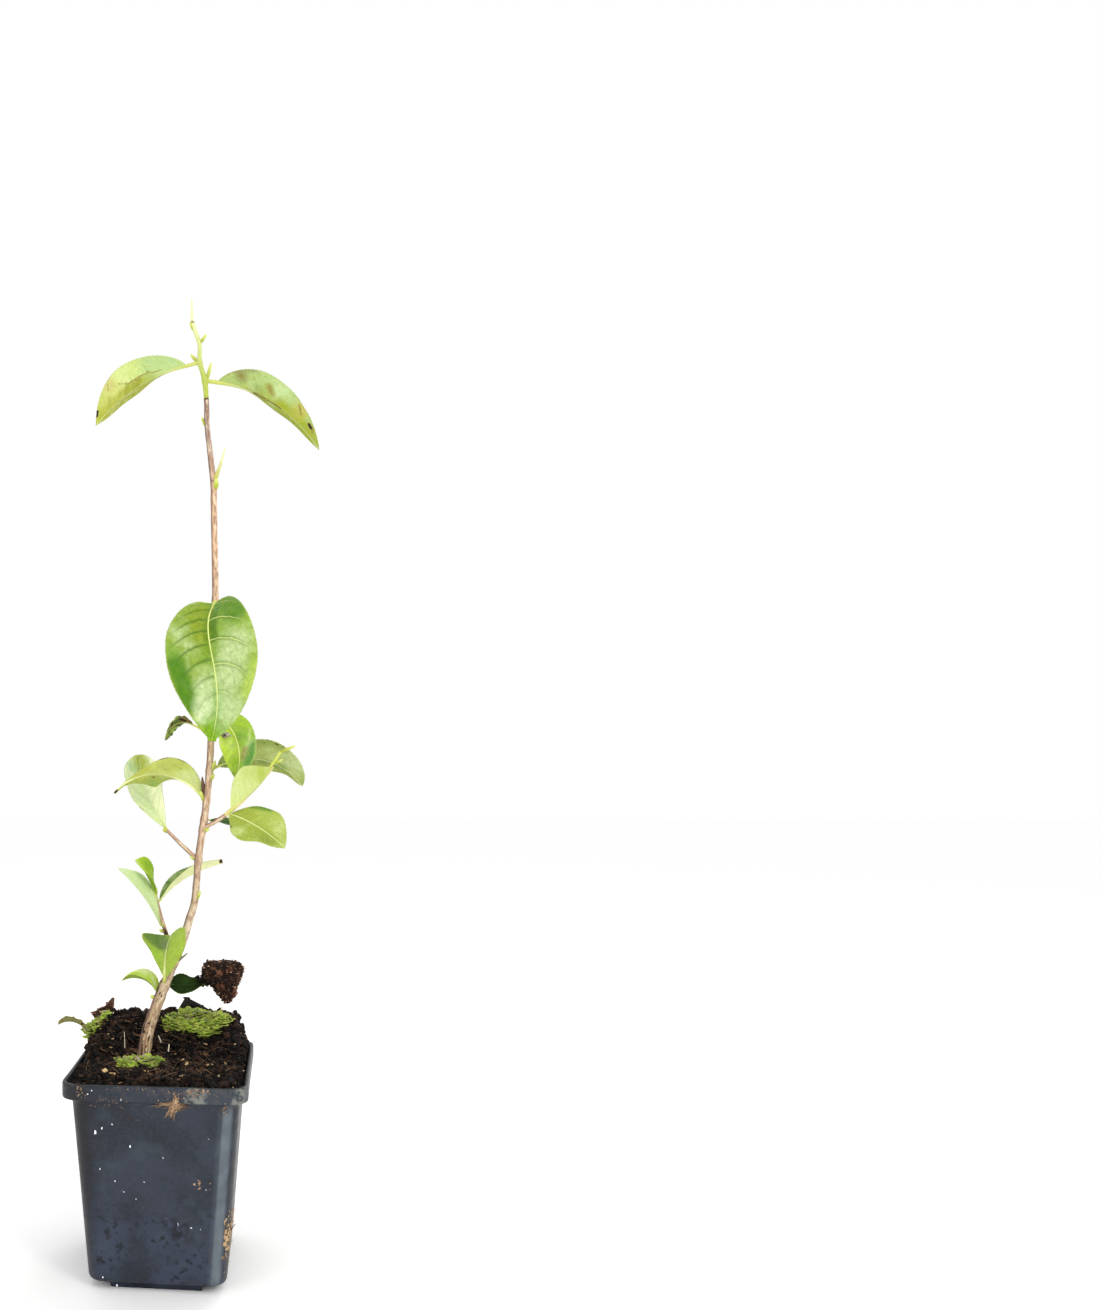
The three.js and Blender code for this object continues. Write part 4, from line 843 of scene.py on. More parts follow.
def blade(leaf, start):
    """A thin closed blade with its folds, puckered veins and toothed rim, and its petiole"""
    s = np.linspace(0, 1, LEAF_ROWS + 1)
    t = np.linspace(1, -1, 2 * leaf.get("columns", LEAF_COLUMNS) + 1)
    out = abs(t)
    sign = np.sign(t)
    middle = midline(leaf, start, s)
    ahead, side, face = leaf_frames(leaf, s)
    half = half_width(leaf, s)
    ratio = leaf["width"] / leaf["length"]
    seed = leaf["heading"] * 0.37 + leaf["length"]

    # The fold is steepest at the midrib and eases towards the rim
    fine = np.linspace(0, 1, 200)
    angles = np.radians(leaf["fold"]) * (1 + leaf.get("vee", 1) * (0.28 - 0.56 * fine))
    step_out = np.concatenate([[0], np.cumsum(np.cos(angles[1:])) / 199])
    step_up = np.concatenate([[0], np.cumsum(np.sin(angles[1:])) / 199])
    outward = np.interp(out, fine, step_out) * sign
    lift = np.interp(out, fine, step_up)
    angle = np.interp(out, fine, angles)

    # Reach to each side, with teeth, pinches and ragged bites along the rim
    teeth = (s * leaf["length"] * TEETH_PER_MM) % 1
    tooth = TOOTH * teeth * smoothstep(0.08, 0.25, s) * (1 - smoothstep(0.95, 1, s))
    reach = half[:, None] + np.minimum(tooth, half * 0.2)[:, None] * out[None] ** 8
    for at, which, spread, amount in leaf.get("pinch", ()):
        bell = np.exp(-((s - at) / spread) ** 2) * amount
        reach = reach * (1 - bell[:, None] * (sign == which)[None])
    bites = leaf.get("ragged", 0) * np.sin(23 * s + seed) * np.sin(11 * s)
    reach = np.maximum(0.2, reach + bites[:, None] * out[None] ** 4 * np.sin(np.pi * s)[:, None])
    bow = leaf.get("bow", 0) * np.sin(2 * np.pi * s)[:, None] * (1 - out ** 2)[None]

    normal = (face[:, None] * np.cos(angle)[None, :, None]
              - side[:, None] * (sign * np.sin(angle))[None, :, None])
    surface = (middle[:, None] + side[:, None] * (reach * outward + bow)[..., None]
               + face[:, None] * (reach * lift)[..., None])
    lobes = np.where(t < 0, *leaf.get("lobes", (0, 0))[::-1])[None] * smoothstep(0.5, 9, reach * out)
    surface = surface - ahead[:, None] * (lobes * (1 - smoothstep(0, 0.3, s))[:, None])[..., None]

    # Side veins: bulges of the lamina between sunken lines
    def halves(key, usual):
        first, second = leaf.get(key, (usual, usual))
        return np.where(t < 0, second, first)

    slants = leaf.get("sweep", ((0.08, 0.34), (0.08, 0.34)))
    slant, curve = (np.where(t < 0, slants[1][k], slants[0][k]) for k in (0, 1))
    swept = s[:, None] - ratio * (slant * out + curve * out ** 2)[None]
    phase = swept * halves("pairs", 7) + halves("vein_start", 0.2) + np.where(t < 0, 0.45, 0)
    bulge = np.sin(np.pi * (phase % 1)) ** leaf.get("crease", 0.6)
    room = smoothstep(0, 0.2, out) * (1 - smoothstep(0.75, 1, out))
    pucker = leaf.get("pucker", 0.2) * np.minimum(1, leaf["width"] / 25)
    strong = np.ones((1, len(t)))
    if leaf.get("creased"):
        low, high, full, least = VEINS_FADE
        along = full + (least - full) * smoothstep(low, high, s)
        strong = np.where(t < 0, 1.5, 0.5)[None] * along[:, None]
    off_rib = reach * t[None]
    sunk = np.exp(-(off_rib / 0.75) ** 2) * (1 - 0.7 * s)[:, None]
    wave = 0.03 * leaf["width"] * np.sin(2 * np.pi * (2.3 * s[:, None] + 0.2 * sign) + seed)
    relief = (pucker * (bulge - 0.6) * room[None] * strong - 0.22 * sunk
              + wave * out[None] ** 3 * np.sin(np.pi * s)[:, None] * 0.6)
    relief = relief + rough(surface, 9, 3, seed) * 0.5 * room[None] * np.sin(np.pi * s)[:, None]
    relief = relief + rough(surface, 3.2, 2, seed) * leaf.get("quilt", 0.12) * room[None]

    thin = LEAF_THICKNESS * (1 - 0.4 * out)[None] * np.minimum(1, half[:, None] / 2)
    top = surface + normal * (relief + thin / 2)[..., None]
    ridge = (0.34 * leaf["length"] / 60 + 0.1) * np.exp(-(off_rib / 0.6) ** 2) * (1 - 0.75 * s)[:, None]
    low = surface + normal * (relief - thin / 2 - ridge)[..., None]
    rings = np.concatenate([top, low[:, ::-1]], axis=1)

    blot, cloud = np.zeros(off_rib.shape), np.zeros(off_rib.shape)
    for places, radius, dark in leaf.get("marks", ()):
        blot = np.maximum(blot, dark * np.clip(1.5 - near_places(surface, places) / radius, 0, 1))
    # Soft patches of painted light, and with a minus of painted shade
    for at, off, radius, strength in leaf.get("clouds", ()):
        far = near_places(surface, (at, off))
        cloud = cloud + 1.2 * strength * np.exp(-(far / radius * 1.3) ** 2)
    bare, tint, tint_share = np.ones(off_rib.shape), np.zeros((*off_rib.shape, 3)), 1e-6
    # Patches of another colour: the leaf's own colours, and some painted glare and sheen
    for places, radius, strength, code in leaf.get("tints_and_painted_light", ()):
        share = strength * (1 - smoothstep(0.35, 1.25, near_places(surface, places) / radius))
        bare = bare * (1 - share)
        tint = tint + share[..., None] * np.array(paint(code)[:3])
        tint_share = tint_share + share
    tint = tint / np.broadcast_to(tint_share, off_rib.shape)[..., None]

    def both(grid):
        grid = np.broadcast_to(grid, off_rib.shape)
        return np.concatenate([grid, grid[:, ::-1]], axis=1)

    upper = np.repeat([1.0, 0.0], len(t))
    shells = Shells().skin(rings, along=both(s[:, None]), across=both(t[None]), off_rib=both(off_rib),
                           phase=both(phase), upper=upper, blot=both(blot), cloud=both(cloud),
                           tint=both(1 - bare),
                           **{name: both(tint[..., k]) for k, name in enumerate(TINT_PARTS)})

    # Petiole, which runs in under the midrib
    inside = s <= PETIOLE_RUN_IN
    back = np.linspace(0, 1, PETIOLE_STEPS + 1)[:-1, None]
    stalk = np.concatenate([start + (middle[0] - start) * back, middle[inside] - face[inside] * 0.15])
    thick = leaf.get("thick", max(PETIOLE_LEAST, leaf["length"] * PETIOLE_SHARE))
    radii = np.full(len(stalk), thick * 1.05)
    radii[PETIOLE_STEPS:] = thick * (1 - 0.75 * s[inside] / PETIOLE_RUN_IN)
    fresh = np.ones(len(stalk))
    fresh[PETIOLE_STEPS:] = 1 - smoothstep(0, 0.6 * PETIOLE_RUN_IN, s[inside])
    return shells.skin(tube_rings(stalk, radii, 14), stalk=fresh[:, None])


# Where each thing starts on the stem, a twig or the moss
lines = {}
for name, (z, *course) in TWIGS.items():
    lines[name] = run(at_height(STEM_BENDS, z), *course)
for name, (twig, *course) in SPRAYS.items():
    lines[name] = run(lines[twig][0][-1], *course)
lines["side_shoot"] = run(at_height(STEM_BENDS, SIDE_SHOOT[0]), *SIDE_SHOOT[1:])


def part_way(line, share):
    points = line[0]
    place = share * (len(points) - 1)
    return np.array([np.interp(place, range(len(points)), points[:, k]) for k in range(3)])


def joint_of(leaf):
    if "at" in leaf:
        return np.array(leaf["at"], float)
    if "twig" in leaf:
        return part_way(lines[leaf["twig"]], leaf["share"])
    return at_height(SHOOT_BENDS if leaf["z"] > SHOOT_BENDS[0, 2] else STEM_BENDS, leaf["z"])


def on_blade(leaf, along, across):
    """About where a blade's upper side is, at shares of its length and outwards"""
    s = np.linspace(0, 1, 101)
    k = round(100 * along)
    _, side, face = leaf_frames(leaf, s)
    reach, angle = half_width(leaf, s)[k] * abs(across), np.radians(leaf["fold"])
    outward = side[k] * np.cos(angle) * np.sign(across) + face[k] * np.sin(angle)
    return midline(leaf, joint_of(leaf), s)[k] + outward * reach + 0.5 * face[k]


SLOT_OF_NODE = {part["node"]: part["material_slot"] for part in frame["record"]["subparts"]}
for leaf in LEAVES:
    leaf.update(zip(FORM_KEYS + TONE_KEYS, leaf["form"] + leaf["tones"]), piece="blade_" + leaf["name"])
    nodes = [node for node in SLOT_OF_NODE if node == "leaf_" + leaf["name"]]
    slot = SLOT_OF_NODE[nodes[0] if nodes else leaf["twig"]]
    blade(leaf, joint_of(leaf)).piece(leaf["piece"], leaf_material(leaf), slot, nodes)


# Stem, twigs and shoots

joint_heights = [leaf["z"] for leaf in LEAVES if "z" in leaf] + [course[0] for course in TWIGS.values()]


def swelling(points):
    heights = points[:, 2:3] - np.array(joint_heights)[None]
    return NODE_SWELL * np.exp(-(heights / NODE_REACH) ** 2).sum(axis=1)


def barked(points, radii, sides, seed, age):
    """Rings with bark relief, and named values for the bark's colours. age is 1 on old bark"""
    angle = turns(sides)
    wrap_x = radii[:, None] * np.cos(angle)
    wrap_y = radii[:, None] * np.sin(angle)
    course = np.broadcast_to(BARK_STRETCH * stations(points)[:, None], wrap_x.shape)
    skin = np.stack([wrap_x, wrap_y, course], axis=-1)
    grain = rough(skin, 0.9, 4, seed)
    fissure = smoothstep(0.12, 0.4, rough(skin, 1.0, 3, seed + 7)) * age[:, None]
    lumps = rough(skin, 2.2, 3, seed + 3)
    relief = 0.08 * grain + (0.22 * lumps - 0.26 * fissure) * (0.3 + age[:, None])
    values = {"wrap_x": wrap_x * MM, "wrap_y": wrap_y * MM, "course": course * MM, "crack": fissure,
              "shady": np.sin(angle)}
    return tube_rings(points, radii, sides, relief), values


# Leaf scars and dents: height, angle from the right, radius and depth
SCARS = [(118.5, 232, 1.5, 0.9), (129, 150, 1.1, 0.8), (121, 300, 0.9, 0.6), (110.5, 280, 0.9, 0.5),
         (137.5, 185, 1.0, 0.6), (187, 300, 0.8, 0.4), (171, 60, 0.7, 0.4), (401, 250, 0.8, 0.5),
         (300, 90, 0.7, 0.3), (339, 275, 0.6, 0.5), (430, 200, 0.7, 0.6), (246, 190, 1.1, 0.8)]


def stem():
    points, radii = walk(STEM_BENDS, STEM_STEP)
    keep = points[:, 2] > STEM_BENDS[0, 2] + 1
    points, radii = points[keep], radii[keep]
    radii = radii + swelling(points)
    age = 0.1 + 0.9 * (1 - smoothstep(*OLD_BARK, points[:, 2]))
    rings, values = barked(points, radii, STEM_SIDES, 1.0, age)
    scar = np.zeros(rings.shape[:2])
    for z, around, radius, depth in SCARS:
        row = np.argmin(abs(points[:, 2] - z))
        aim = points[row] + direction(around, 0) * radii[row]
        pit = 1 - smoothstep(radius * 0.4, radius, np.linalg.norm(rings - aim, axis=-1))
        rings = rings - unit(rings - points[:, None]) * (pit * depth * 0.35)[..., None]
        scar = np.maximum(scar, pit * depth)
    return Shells().skin(rings, **values, height=rings[..., 2], scar=scar)


def twig(name, seed):
    points, radii = even(*lines[name], TWIG_STEP)
    rings, values = barked(points, radii, TWIG_SIDES, seed, np.full(len(points), 0.2))
    return Shells().skin(rings, **values, height=110 if name == "dry_spur" else 210, scar=0.0)


BARK = bark_material()
SPUR_GREY = shoot_material("spur_grey", 0x8C8A66, 0xA2B088, 0x6B6048)
stem().piece("stem_bark", BARK, "bark", ["stem"])
for number, name in enumerate(TWIGS):
    material = SPUR_GREY if name == "dry_spur" else BARK
    twig(name, 20.0 + number).piece(name + "_bark", material, "bark", [name])


def soft_tube(points, radii, seed, rings_at):
    """A green shoot: faint ridges, and a dark ring round it at some shares of its length"""
    points, radii = even(points, radii, TWIG_STEP)
    along = np.linspace(0, 1, len(points))
    base = tube_rings(points, radii, SHOOT_SIDES)
    rings = tube_rings(points, radii, SHOOT_SIDES, 0.07 * rough(base * np.array([1, 1, 0.3]), 2, 3, seed))
    ring = np.zeros(len(points))
    for share in rings_at:
        ring = np.maximum(ring, np.exp(-((along - share) / 0.012) ** 2))
    return Shells().skin(rings, along=along[:, None], ring=ring[:, None])


def leader():
    """The top shoot's line: thicker where leaves stand, and slimmer above its ring"""
    points, radii = walk(SHOOT_BENDS, TWIG_STEP)
    above = points[:, 2] > SHOOT_BENDS[0, 2] + GAP
    swell = swelling(points[above])
    slim = 1 - 0.3 * smoothstep(LEADER_RING - 0.5, LEADER_RING + 0.5, points[above, 2])
    return points[above], (radii[above] + swell) * slim


lines["top_shoot"] = leader()
ring_share = (LEADER_RING - SHOOT_BENDS[0, 2]) / (SHOOT_BENDS[-1, 2] - SHOOT_BENDS[0, 2])

# Shoots: piece, node, dark rings, material and its colours at the root, at the tip and in places
SHOOTS = [
    ("leader", "top_shoot", (0.0, ring_share), "leader_green", 0xAABA44, 0xE2E6AA, 0xC2BE5C),
    ("side_shoot_green", "side_shoot", (), "side_green", 0xBEBE5A, 0xE6EAB4, 0xC4AC5E),
    ("spray_right_shoot", "spray_right", (0.42,), "spray_green", 0xDDCB86, 0xD3DC5C, 0xCBD05A),
    ("spray_low_shoot", "spray_low", (), "spray_low_green", 0xB7A87C, 0xC8D27A, 0xA89A66),
]
for number, (name, node, rings_at, *colouring) in enumerate(SHOOTS):
    shoot = soft_tube(*lines[node], 5.0 + number, rings_at)
    shoot.piece(name, shoot_material(*colouring), SLOT_OF_NODE[node], [node])


def bud(shells, start, heading, rise, length, radius, seed):
    """A pointed bud wrapped in overlapping scales"""
    u = np.linspace(0, 1, 22)
    points = start + direction(heading, rise) * length * u[:, None]
    radii = 1.1 * radius * (1 - u) ** 0.62 * (0.6 + 1.5 * u) + 0.04
    scales = 0.09 * radius * np.sin(2 * turns(20)[None] + 9 * u[:, None] + seed)
    rings = tube_rings(points, radii, 20, scales * np.sin(np.pi * u)[:, None])
    shells.skin(rings, along=u[:, None], ring=0.0)


def bud_host(host, share):
    """Where a bud's root is, and the radius of what it stands on"""
    if host in ("top", "stem"):
        points, radii = walk(SHOOT_BENDS if host == "top" else STEM_BENDS, 0.5)
        row = np.argmin(abs(points[:, 2] - share))
        return points[row], radii[row]
    return part_way(lines[host], share), lines[host][1][-1] if share < 1 else 0


for name, table, slot, colouring in (
        ("buds", BUDS, "green_shoot", ("bud_scales", 0xA6B22E, 0xD4DA72, 0xB8A04A)),
        ("dry_buds", DRY_BUDS, "bark", ("dry_scales", 0x4A2E1E, 0x6B4A30, 0x2A1A12))):
    shells = Shells()
    for number, (host, share, heading, *course) in enumerate(table):
        root, radius = bud_host(host, share)
        bud(shells, root + direction(heading, 0) * radius * 0.75, heading, *course, seed=number)
    shells.piece(name, shoot_material(*colouring), slot)


# Pot

def square_ring(half, corner, corner_points, side_points, notch=0.0):
    """A square with rounded corners, anticlockwise seen from above: x and y. With a notch the
    corners are cut in square instead, by that much"""
    straight = half - corner
    ring = []
    for quarter in range(4):
        turn = quarter * math.pi / 2
        edge = [(half, straight * (2 * k / side_points - 1)) for k in range(side_points)]
        bend = [k / corner_points * math.pi / 2 for k in range(corner_points)]
        if notch:
            cut = [min(1, 2 * k / corner_points) for k in range(corner_points)]
            back = [max(0, 2 * k / corner_points - 1) for k in range(corner_points)]
            edge += [(half - notch * c, straight + notch * b) for c, b in zip(cut, back)]
        else:
            edge += [(straight + corner * math.cos(a), straight + corner * math.sin(a)) for a in bend]
        ring += [(u * math.cos(turn) - v * math.sin(turn), u * math.sin(turn) + v * math.cos(turn))
                 for u, v in edge]
    return np.array(ring)


def pot():
    """The tapered tub: outside from the foot up, round the rim and down the inside"""
    lip = RIM_ROUND
    foot = [(FOOT_HALF - 0.5, 0), (FOOT_HALF, 0.3), (FOOT_HALF, 3.9)]
    outside = [(FOOT_HALF + 2.4, 4.1), (BODY_BOTTOM_HALF - 0.4, 4.5), (BODY_BOTTOM_HALF, FOOT_RISE)]
    levels = np.linspace(0.03, 1, 30)
    outside += [(BODY_BOTTOM_HALF + (BODY_TOP_HALF - BODY_BOTTOM_HALF) * k,
                 FOOT_RISE + (COLLAR_FOOT - lip - FOOT_RISE) * k) for k in levels]
    outside += [(RIM_HALF - lip, COLLAR_FOOT), (RIM_HALF - 0.15, COLLAR_FOOT + 0.3)]
    outside += [(RIM_HALF, COLLAR_FOOT + 1), (RIM_HALF, POT_HEIGHT - 2 * lip)]
    outside += [(RIM_HALF - lip * 0.3, POT_HEIGHT - lip * 0.3), (RIM_HALF - lip, POT_HEIGHT)]
    inside = [(POCKET_HALF + 0.3, POT_HEIGHT), (POCKET_HALF, POT_HEIGHT - 0.4)]
    inside += [(POCKET_HALF - lip, COLLAR_FOOT + WALL), (BODY_TOP_HALF - WALL, COLLAR_FOOT - lip + WALL)]
    inside += [(BODY_BOTTOM_HALF - WALL, FOOT_RISE + WALL), (FOOT_HALF - WALL, FLOOR)]
    outer = len(foot) + len(outside)
    rings = []
    for number, (half, z) in enumerate(foot + outside + inside):
        corner = (RIM_CORNER if z > COLLAR_FOOT - 0.1 else BODY_CORNER) - (WALL if number >= outer else 0)
        notch = FOOT_NOTCH if number < len(foot) else 0
        flat = square_ring(half, corner, POT_CORNER_POINTS, POT_SIDE_POINTS, notch)
        sway = 0.25 * np.sin(flat[:, 0] * 0.06 + 1) * np.sin(flat[:, 1] * 0.05 + 2) * smoothstep(10, 60, z)
        rings.append(np.column_stack([flat * (1 + sway[:, None] / RIM_HALF), np.full(len(flat), float(z))]))
    rings = np.array(rings)
    rows, sides = rings.shape[:2]

    # The front right corner and its opposite get a pale strip: a painted reflection
    quarter = POT_SIDE_POINTS + POT_CORNER_POINTS
    column = np.arange(sides)
    bend = (column % quarter - POT_SIDE_POINTS) / POT_CORNER_POINTS
    strip = smoothstep(-0.05, 0.1, bend) * (1 - smoothstep(0.32, 0.5, bend)) * ((column // quarter) % 2)
    height = rings[..., 2]
    on_body = smoothstep(1, 8, height) * (1 - smoothstep(COLLAR_FOOT - 3, COLLAR_FOOT - 0.6, height))
    worn = strip[None] * on_body * (0.75 + 0.25 * rough(rings, 6, 3, 2.0))
    mouth = np.where(np.arange(rows) >= outer - 1, 0.85, 0)[:, None]
    rightward = rings[..., 0] - np.max(abs(rings[..., :2]), axis=(1, 2))[:, None]
    side = 0.75 * smoothstep(-2.5, -0.5, rightward) * (1 - worn)
    return Shells().skin(rings, worn=worn, mouth=mouth, side=side)


def drill(thing):
    """The four drain holes, cut and applied"""
    for x, y in ((1, 1), (-1, 1), (1, -1), (-1, -1)):
        place = (x * DRAIN_HOLE_OFFSET * MM, y * DRAIN_HOLE_OFFSET * MM, 0)
        bpy.ops.mesh.primitive_cylinder_add(vertices=32, radius=DRAIN_HOLE_RADIUS * MM, depth=4 * FLOOR * MM,
                                            location=place)
        bit = bpy.context.object
        cut = thing.modifiers.new("drain", "BOOLEAN")
        cut.object = bit
        cut.operation = "DIFFERENCE"
        bpy.context.view_layer.objects.active = thing
        bpy.ops.object.modifier_apply(modifier=cut.name)
        bpy.data.objects.remove(bit)


drill(pot().piece("tub", pot_material(), "pot_plastic", ["pot"]))


# Compost

def soil_height(x, y):
    from_wall = POCKET_HALF - np.maximum(abs(x), abs(y))
    inward = smoothstep(0, SOIL_SHOULDER, from_wall)
    slope_start = SOIL_SLOPE_START - SOIL_LEFT_LEAD * smoothstep(SOIL_LEFT_FROM, SOIL_LEFT_TO, -x)
    back = np.clip((y - slope_start) / SOIL_SLOPE_LENGTH, 0, 1)
    back = back * back * (3 - 2 * back)
    edge = SOIL_EDGE_FRONT + (SOIL_EDGE_BACK - SOIL_EDGE_FRONT - SOIL_EDGE_TILT * x) * back
    crown = SOIL_FRONT + (SOIL_BACK - SOIL_FRONT) * back
    lumps = (np.sin(x * 0.33 + 1.6 * np.cos(y * 0.21)) * np.cos(y * 0.36 + 0.9 * np.sin(x * 0.17)))
    return edge + (crown - edge + SOIL_LUMP * lumps) * inward


def compost():
    half = POCKET_HALF - RIM_ROUND - GAP
    count = (SOIL_CORNER_POINTS, SOIL_SIDE_POINTS)
    walls = [(FOOT_HALF - WALL - GAP, POCKET_CORNER, FLOOR + GAP),
             (BODY_BOTTOM_HALF - WALL - GAP, POCKET_CORNER, FOOT_RISE + WALL + GAP),
             (BODY_TOP_HALF - WALL - GAP, POCKET_CORNER, COLLAR_FOOT - RIM_ROUND + WALL + GAP),
             (half, RIM_CORNER - WALL, COLLAR_FOOT + WALL + 2 * GAP)]
    rings = []
    for reach, corner, z in walls:
        flat = square_ring(reach, corner, *count)
        rings.append(np.column_stack([flat, np.full(len(flat), float(z))]))
    for k in range(SOIL_RINGS):
        share = 1 - k / SOIL_RINGS
        flat = square_ring(half * share, (RIM_CORNER - WALL) * share, *count)
        rings.append(np.column_stack([flat, soil_height(flat[:, 0], flat[:, 1])]))
    rings = np.array(rings)
    open_rings = rings[len(walls):]
    crumble = 2.1 * rough(open_rings, 4.6, 5, 11.0) + 0.5 * rough(open_rings, 1.3, 3, 4.0)
    inward = smoothstep(0, 3, POCKET_HALF - np.max(abs(open_rings[..., :2]), axis=-1))
    open_rings[..., 2] += crumble * (0.3 + 0.7 * inward)
    return Shells().skin(rings, tone=0.0)


PEAT = compost_material("peat", 0x060403, 0x0F0A08, 0x3A261B)
compost().faceted("compost_heap", PEAT, "compost", ["soil"])

PHI = 1.618
ICO = unit(np.array([(a, b, 0) for a in (-1, 1) for b in (-PHI, PHI)]
                    + [(0, a, b) for a in (-1, 1) for b in (-PHI, PHI)]
                    + [(b, 0, a) for a in (-1, 1) for b in (-PHI, PHI)]))
edge_length = np.sort(np.linalg.norm(ICO[0] - ICO, axis=1))[1] * 1.01
ICO_FACES = []
for i, j, k in combinations(range(12), 3):
    trio = ICO[[i, j, k]]
    if max(np.linalg.norm(trio - np.roll(trio, 1, axis=0), axis=1)) < edge_length:
        outward = np.dot(np.cross(trio[1] - trio[0], trio[2] - trio[0]), trio.mean(axis=0)) > 0
        ICO_FACES.append((i, j, k) if outward else (i, k, j))

BOX = np.array([(x, y, z) for x in (-1, 1) for y in (-1, 1) for z in (-1, 1)], float)
BOX_FACES = [(0, 1, 3, 2), (4, 6, 7, 5), (0, 4, 5, 1), (2, 3, 7, 6), (0, 2, 6, 4), (1, 5, 7, 3)]


def spins(rng, count, tilt=90.0):
    """Random turns as matrices: any way round, tipped by up to some degrees"""
    turn = rng.uniform(0, 2 * np.pi, count)
    tip = np.radians(rng.uniform(-tilt, tilt, count))
    zero, one = np.zeros(count), np.ones(count)
    flat = [[np.cos(turn), -np.sin(turn), zero], [np.sin(turn), np.cos(turn), zero], [zero, zero, one]]
    lean = [[one, zero, zero], [zero, np.cos(tip), -np.sin(tip)], [zero, np.sin(tip), np.cos(tip)]]
    return np.einsum("ijn,jkn->nik", np.array(flat), np.array(lean))


def scatter(rng, count, margin=1.5):
    """Places over the compost, by x, y and z, that far from the wall"""
    reach = POCKET_HALF - margin
    x, y = rng.uniform(-reach, reach, (2, count))
    return np.column_stack([x, y, soil_height(x, y)])


def strewn(rng, shape, size, places, lifted, faces, tilt=90.0):
    """Turned copies of shapes at places, lifted by a share of their size, each with a tone"""
    copies = np.einsum("nij,nkj->nki", spins(rng, len(places), tilt), shape) + places[:, None]
    copies[..., 2] += (size * lifted)[:, None]
    return Shells().copies(copies, faces, tone=rng.random(len(places)))


def crumbs(rng, places, smallest, largest):
    """Ragged lumps of peat"""
    count = len(places)
    size = smallest + (largest - smallest) * rng.random(count) ** 3
    shape = ICO[None] * (1 + 0.35 * rng.normal(size=(count, 12, 1)).clip(-1, 1))
    shape = shape * size[:, None, None] / 2 * rng.uniform(0.6, 1.2, (count, 1, 3))
    return strewn(rng, shape, size, places, 0.2, ICO_FACES)


def flakes(rng, places, smallest, largest, tilt=50.0, slim=0.45):
    """Thin chips of bark and wood with uneven corners"""
    count = len(places)
    size = smallest + (largest - smallest) * rng.random(count) ** 2
    spans = [np.ones(count), rng.uniform(slim * 0.5, slim, count), np.full(count, 0.1)]
    shape = BOX[None] * np.stack(spans, axis=1)[:, None]
    shape = shape + rng.uniform(-0.22, 0.22, (count, 8, 3)) * np.array([1, 0.7, 0.2])
    return strewn(rng, shape * size[:, None, None] / 2, size, places, 0.22, BOX_FACES, tilt)


def strand(shells, rng, start, heading, rise, length, radius, curl, tone):
    """A fibre that curls by some degrees"""
    u = np.linspace(0, 1, STRAND_STEPS)
    ways = direction(heading + curl * u, rise - curl * 0.5 * u * u)
    points = start + np.cumsum(ways * length / STRAND_STEPS, axis=0)
    shells.skin(tube_rings(points, radius * (1 - 0.5 * u), STRAND_SIDES), tone=tone)


def fibres(rng, places, longest, thick, rises=(-6, 22)):
    shells = Shells()
    for place in places:
        strand(shells, rng, place + np.array([0, 0, 0.4]), rng.uniform(0, 360), rng.uniform(*rises),
               longest * rng.uniform(0.35, 1), thick * rng.uniform(0.5, 1), rng.uniform(-120, 120),
               rng.random() ** 1.8)
    return shells


rng = np.random.default_rng(41)
crumbs(rng, scatter(rng, 6500), 0.5, 4.6).faceted("peat_crumbs", PEAT)
TAN = litter_material("tan_chips", 0x8A5A2C, 0xDDBB84, 0.8)
RUSTY = litter_material("rust_fibres", 0x1E120D, 0xA8805C)
WHITE = litter_material("white_slivers", 0xA89472, 0xEADDC2, 0.75)
flakes(rng, scatter(rng, 260), 0.8, 3.6).faceted("wood_chips", TAN)
fibres(rng, scatter(rng, 1500, 9), 11, 0.14).piece("peat_fibres", RUSTY)
flakes(rng, scatter(rng, 170), 0.7, 2.6, 70, 0.3).faceted("white_slivers", WHITE)


# Things on the compost that show one by one

def on_soil(x, y, up=0.0):
    return np.array([x, y, soil_height(np.array(float(x)), np.array(float(y))) + up])


# Chips of bark: x, y, heading, rise, length, width and tone
BIG_CHIPS = [
    (-33, 27, 200, 20, 7, 3, 0.6), (9.5, -9.5, 20, 40, 5, 4.2, 1.0), (11, -13, 60, 20, 4, 2.2, 0.7),
    (21.5, -8, 10, 24, 5.5, 2.4, 1.0), (25.5, -9.5, 150, 30, 3.6, 2, 1.0), (-30, -30, 30, 20, 7, 3.4, 1.0),
    (-23, -33, 80, 20, 6, 3.2, 1.0), (31, -10, 60, 30, 4, 2.4, 0.9), (14, -5, 170, 35, 5, 2.4, 0.8),
    (28, -25, 15, 20, 4, 2, 0.9),
]
chips = Shells()
for x, y, heading, rise, length, width, tone in BIG_CHIPS:
    shape = BOX * np.array([length, width, 0.6]) / 2
    shape = shape + rng.uniform(-0.35, 0.35, (8, 3)) * np.array([2, 1.2, 0.2])
    ahead = direction(heading, rise)
    side = direction(heading + 90, 0)
    basis = np.stack([ahead, side, np.cross(ahead, side)])
    chips.add(shape @ basis + on_soil(x, y) + ahead * length * 0.4, BOX_FACES, tone=tone)
chips.faceted("bark_chips", TAN)

# Pale slivers of root: x, y, heading, rise, length and radius
SLIVERS = [(-21, 3, 95, 80, 11, 0.26), (1.5, 2, 70, 66, 7, 0.55), (-2.5, 9, 130, 60, 4.5, 0.5),
           (-31, 20, 60, 62, 4, 0.6), (27, 27, 60, 60, 6, 0.8), (-19, -6, 40, 40, 3, 0.5),
           (-24, 12, 90, 70, 2, 0.5), (8, -36, 80, 65, 3, 0.35), (33, -18, 110, 60, 4, 0.35)]
slivers = Shells()
for x, y, heading, rise, length, radius in SLIVERS:
    strand(slivers, rng, on_soil(x, y, -0.6), heading, rise, length, radius, 18, 1.0)
slivers.piece("root_slivers", WHITE)

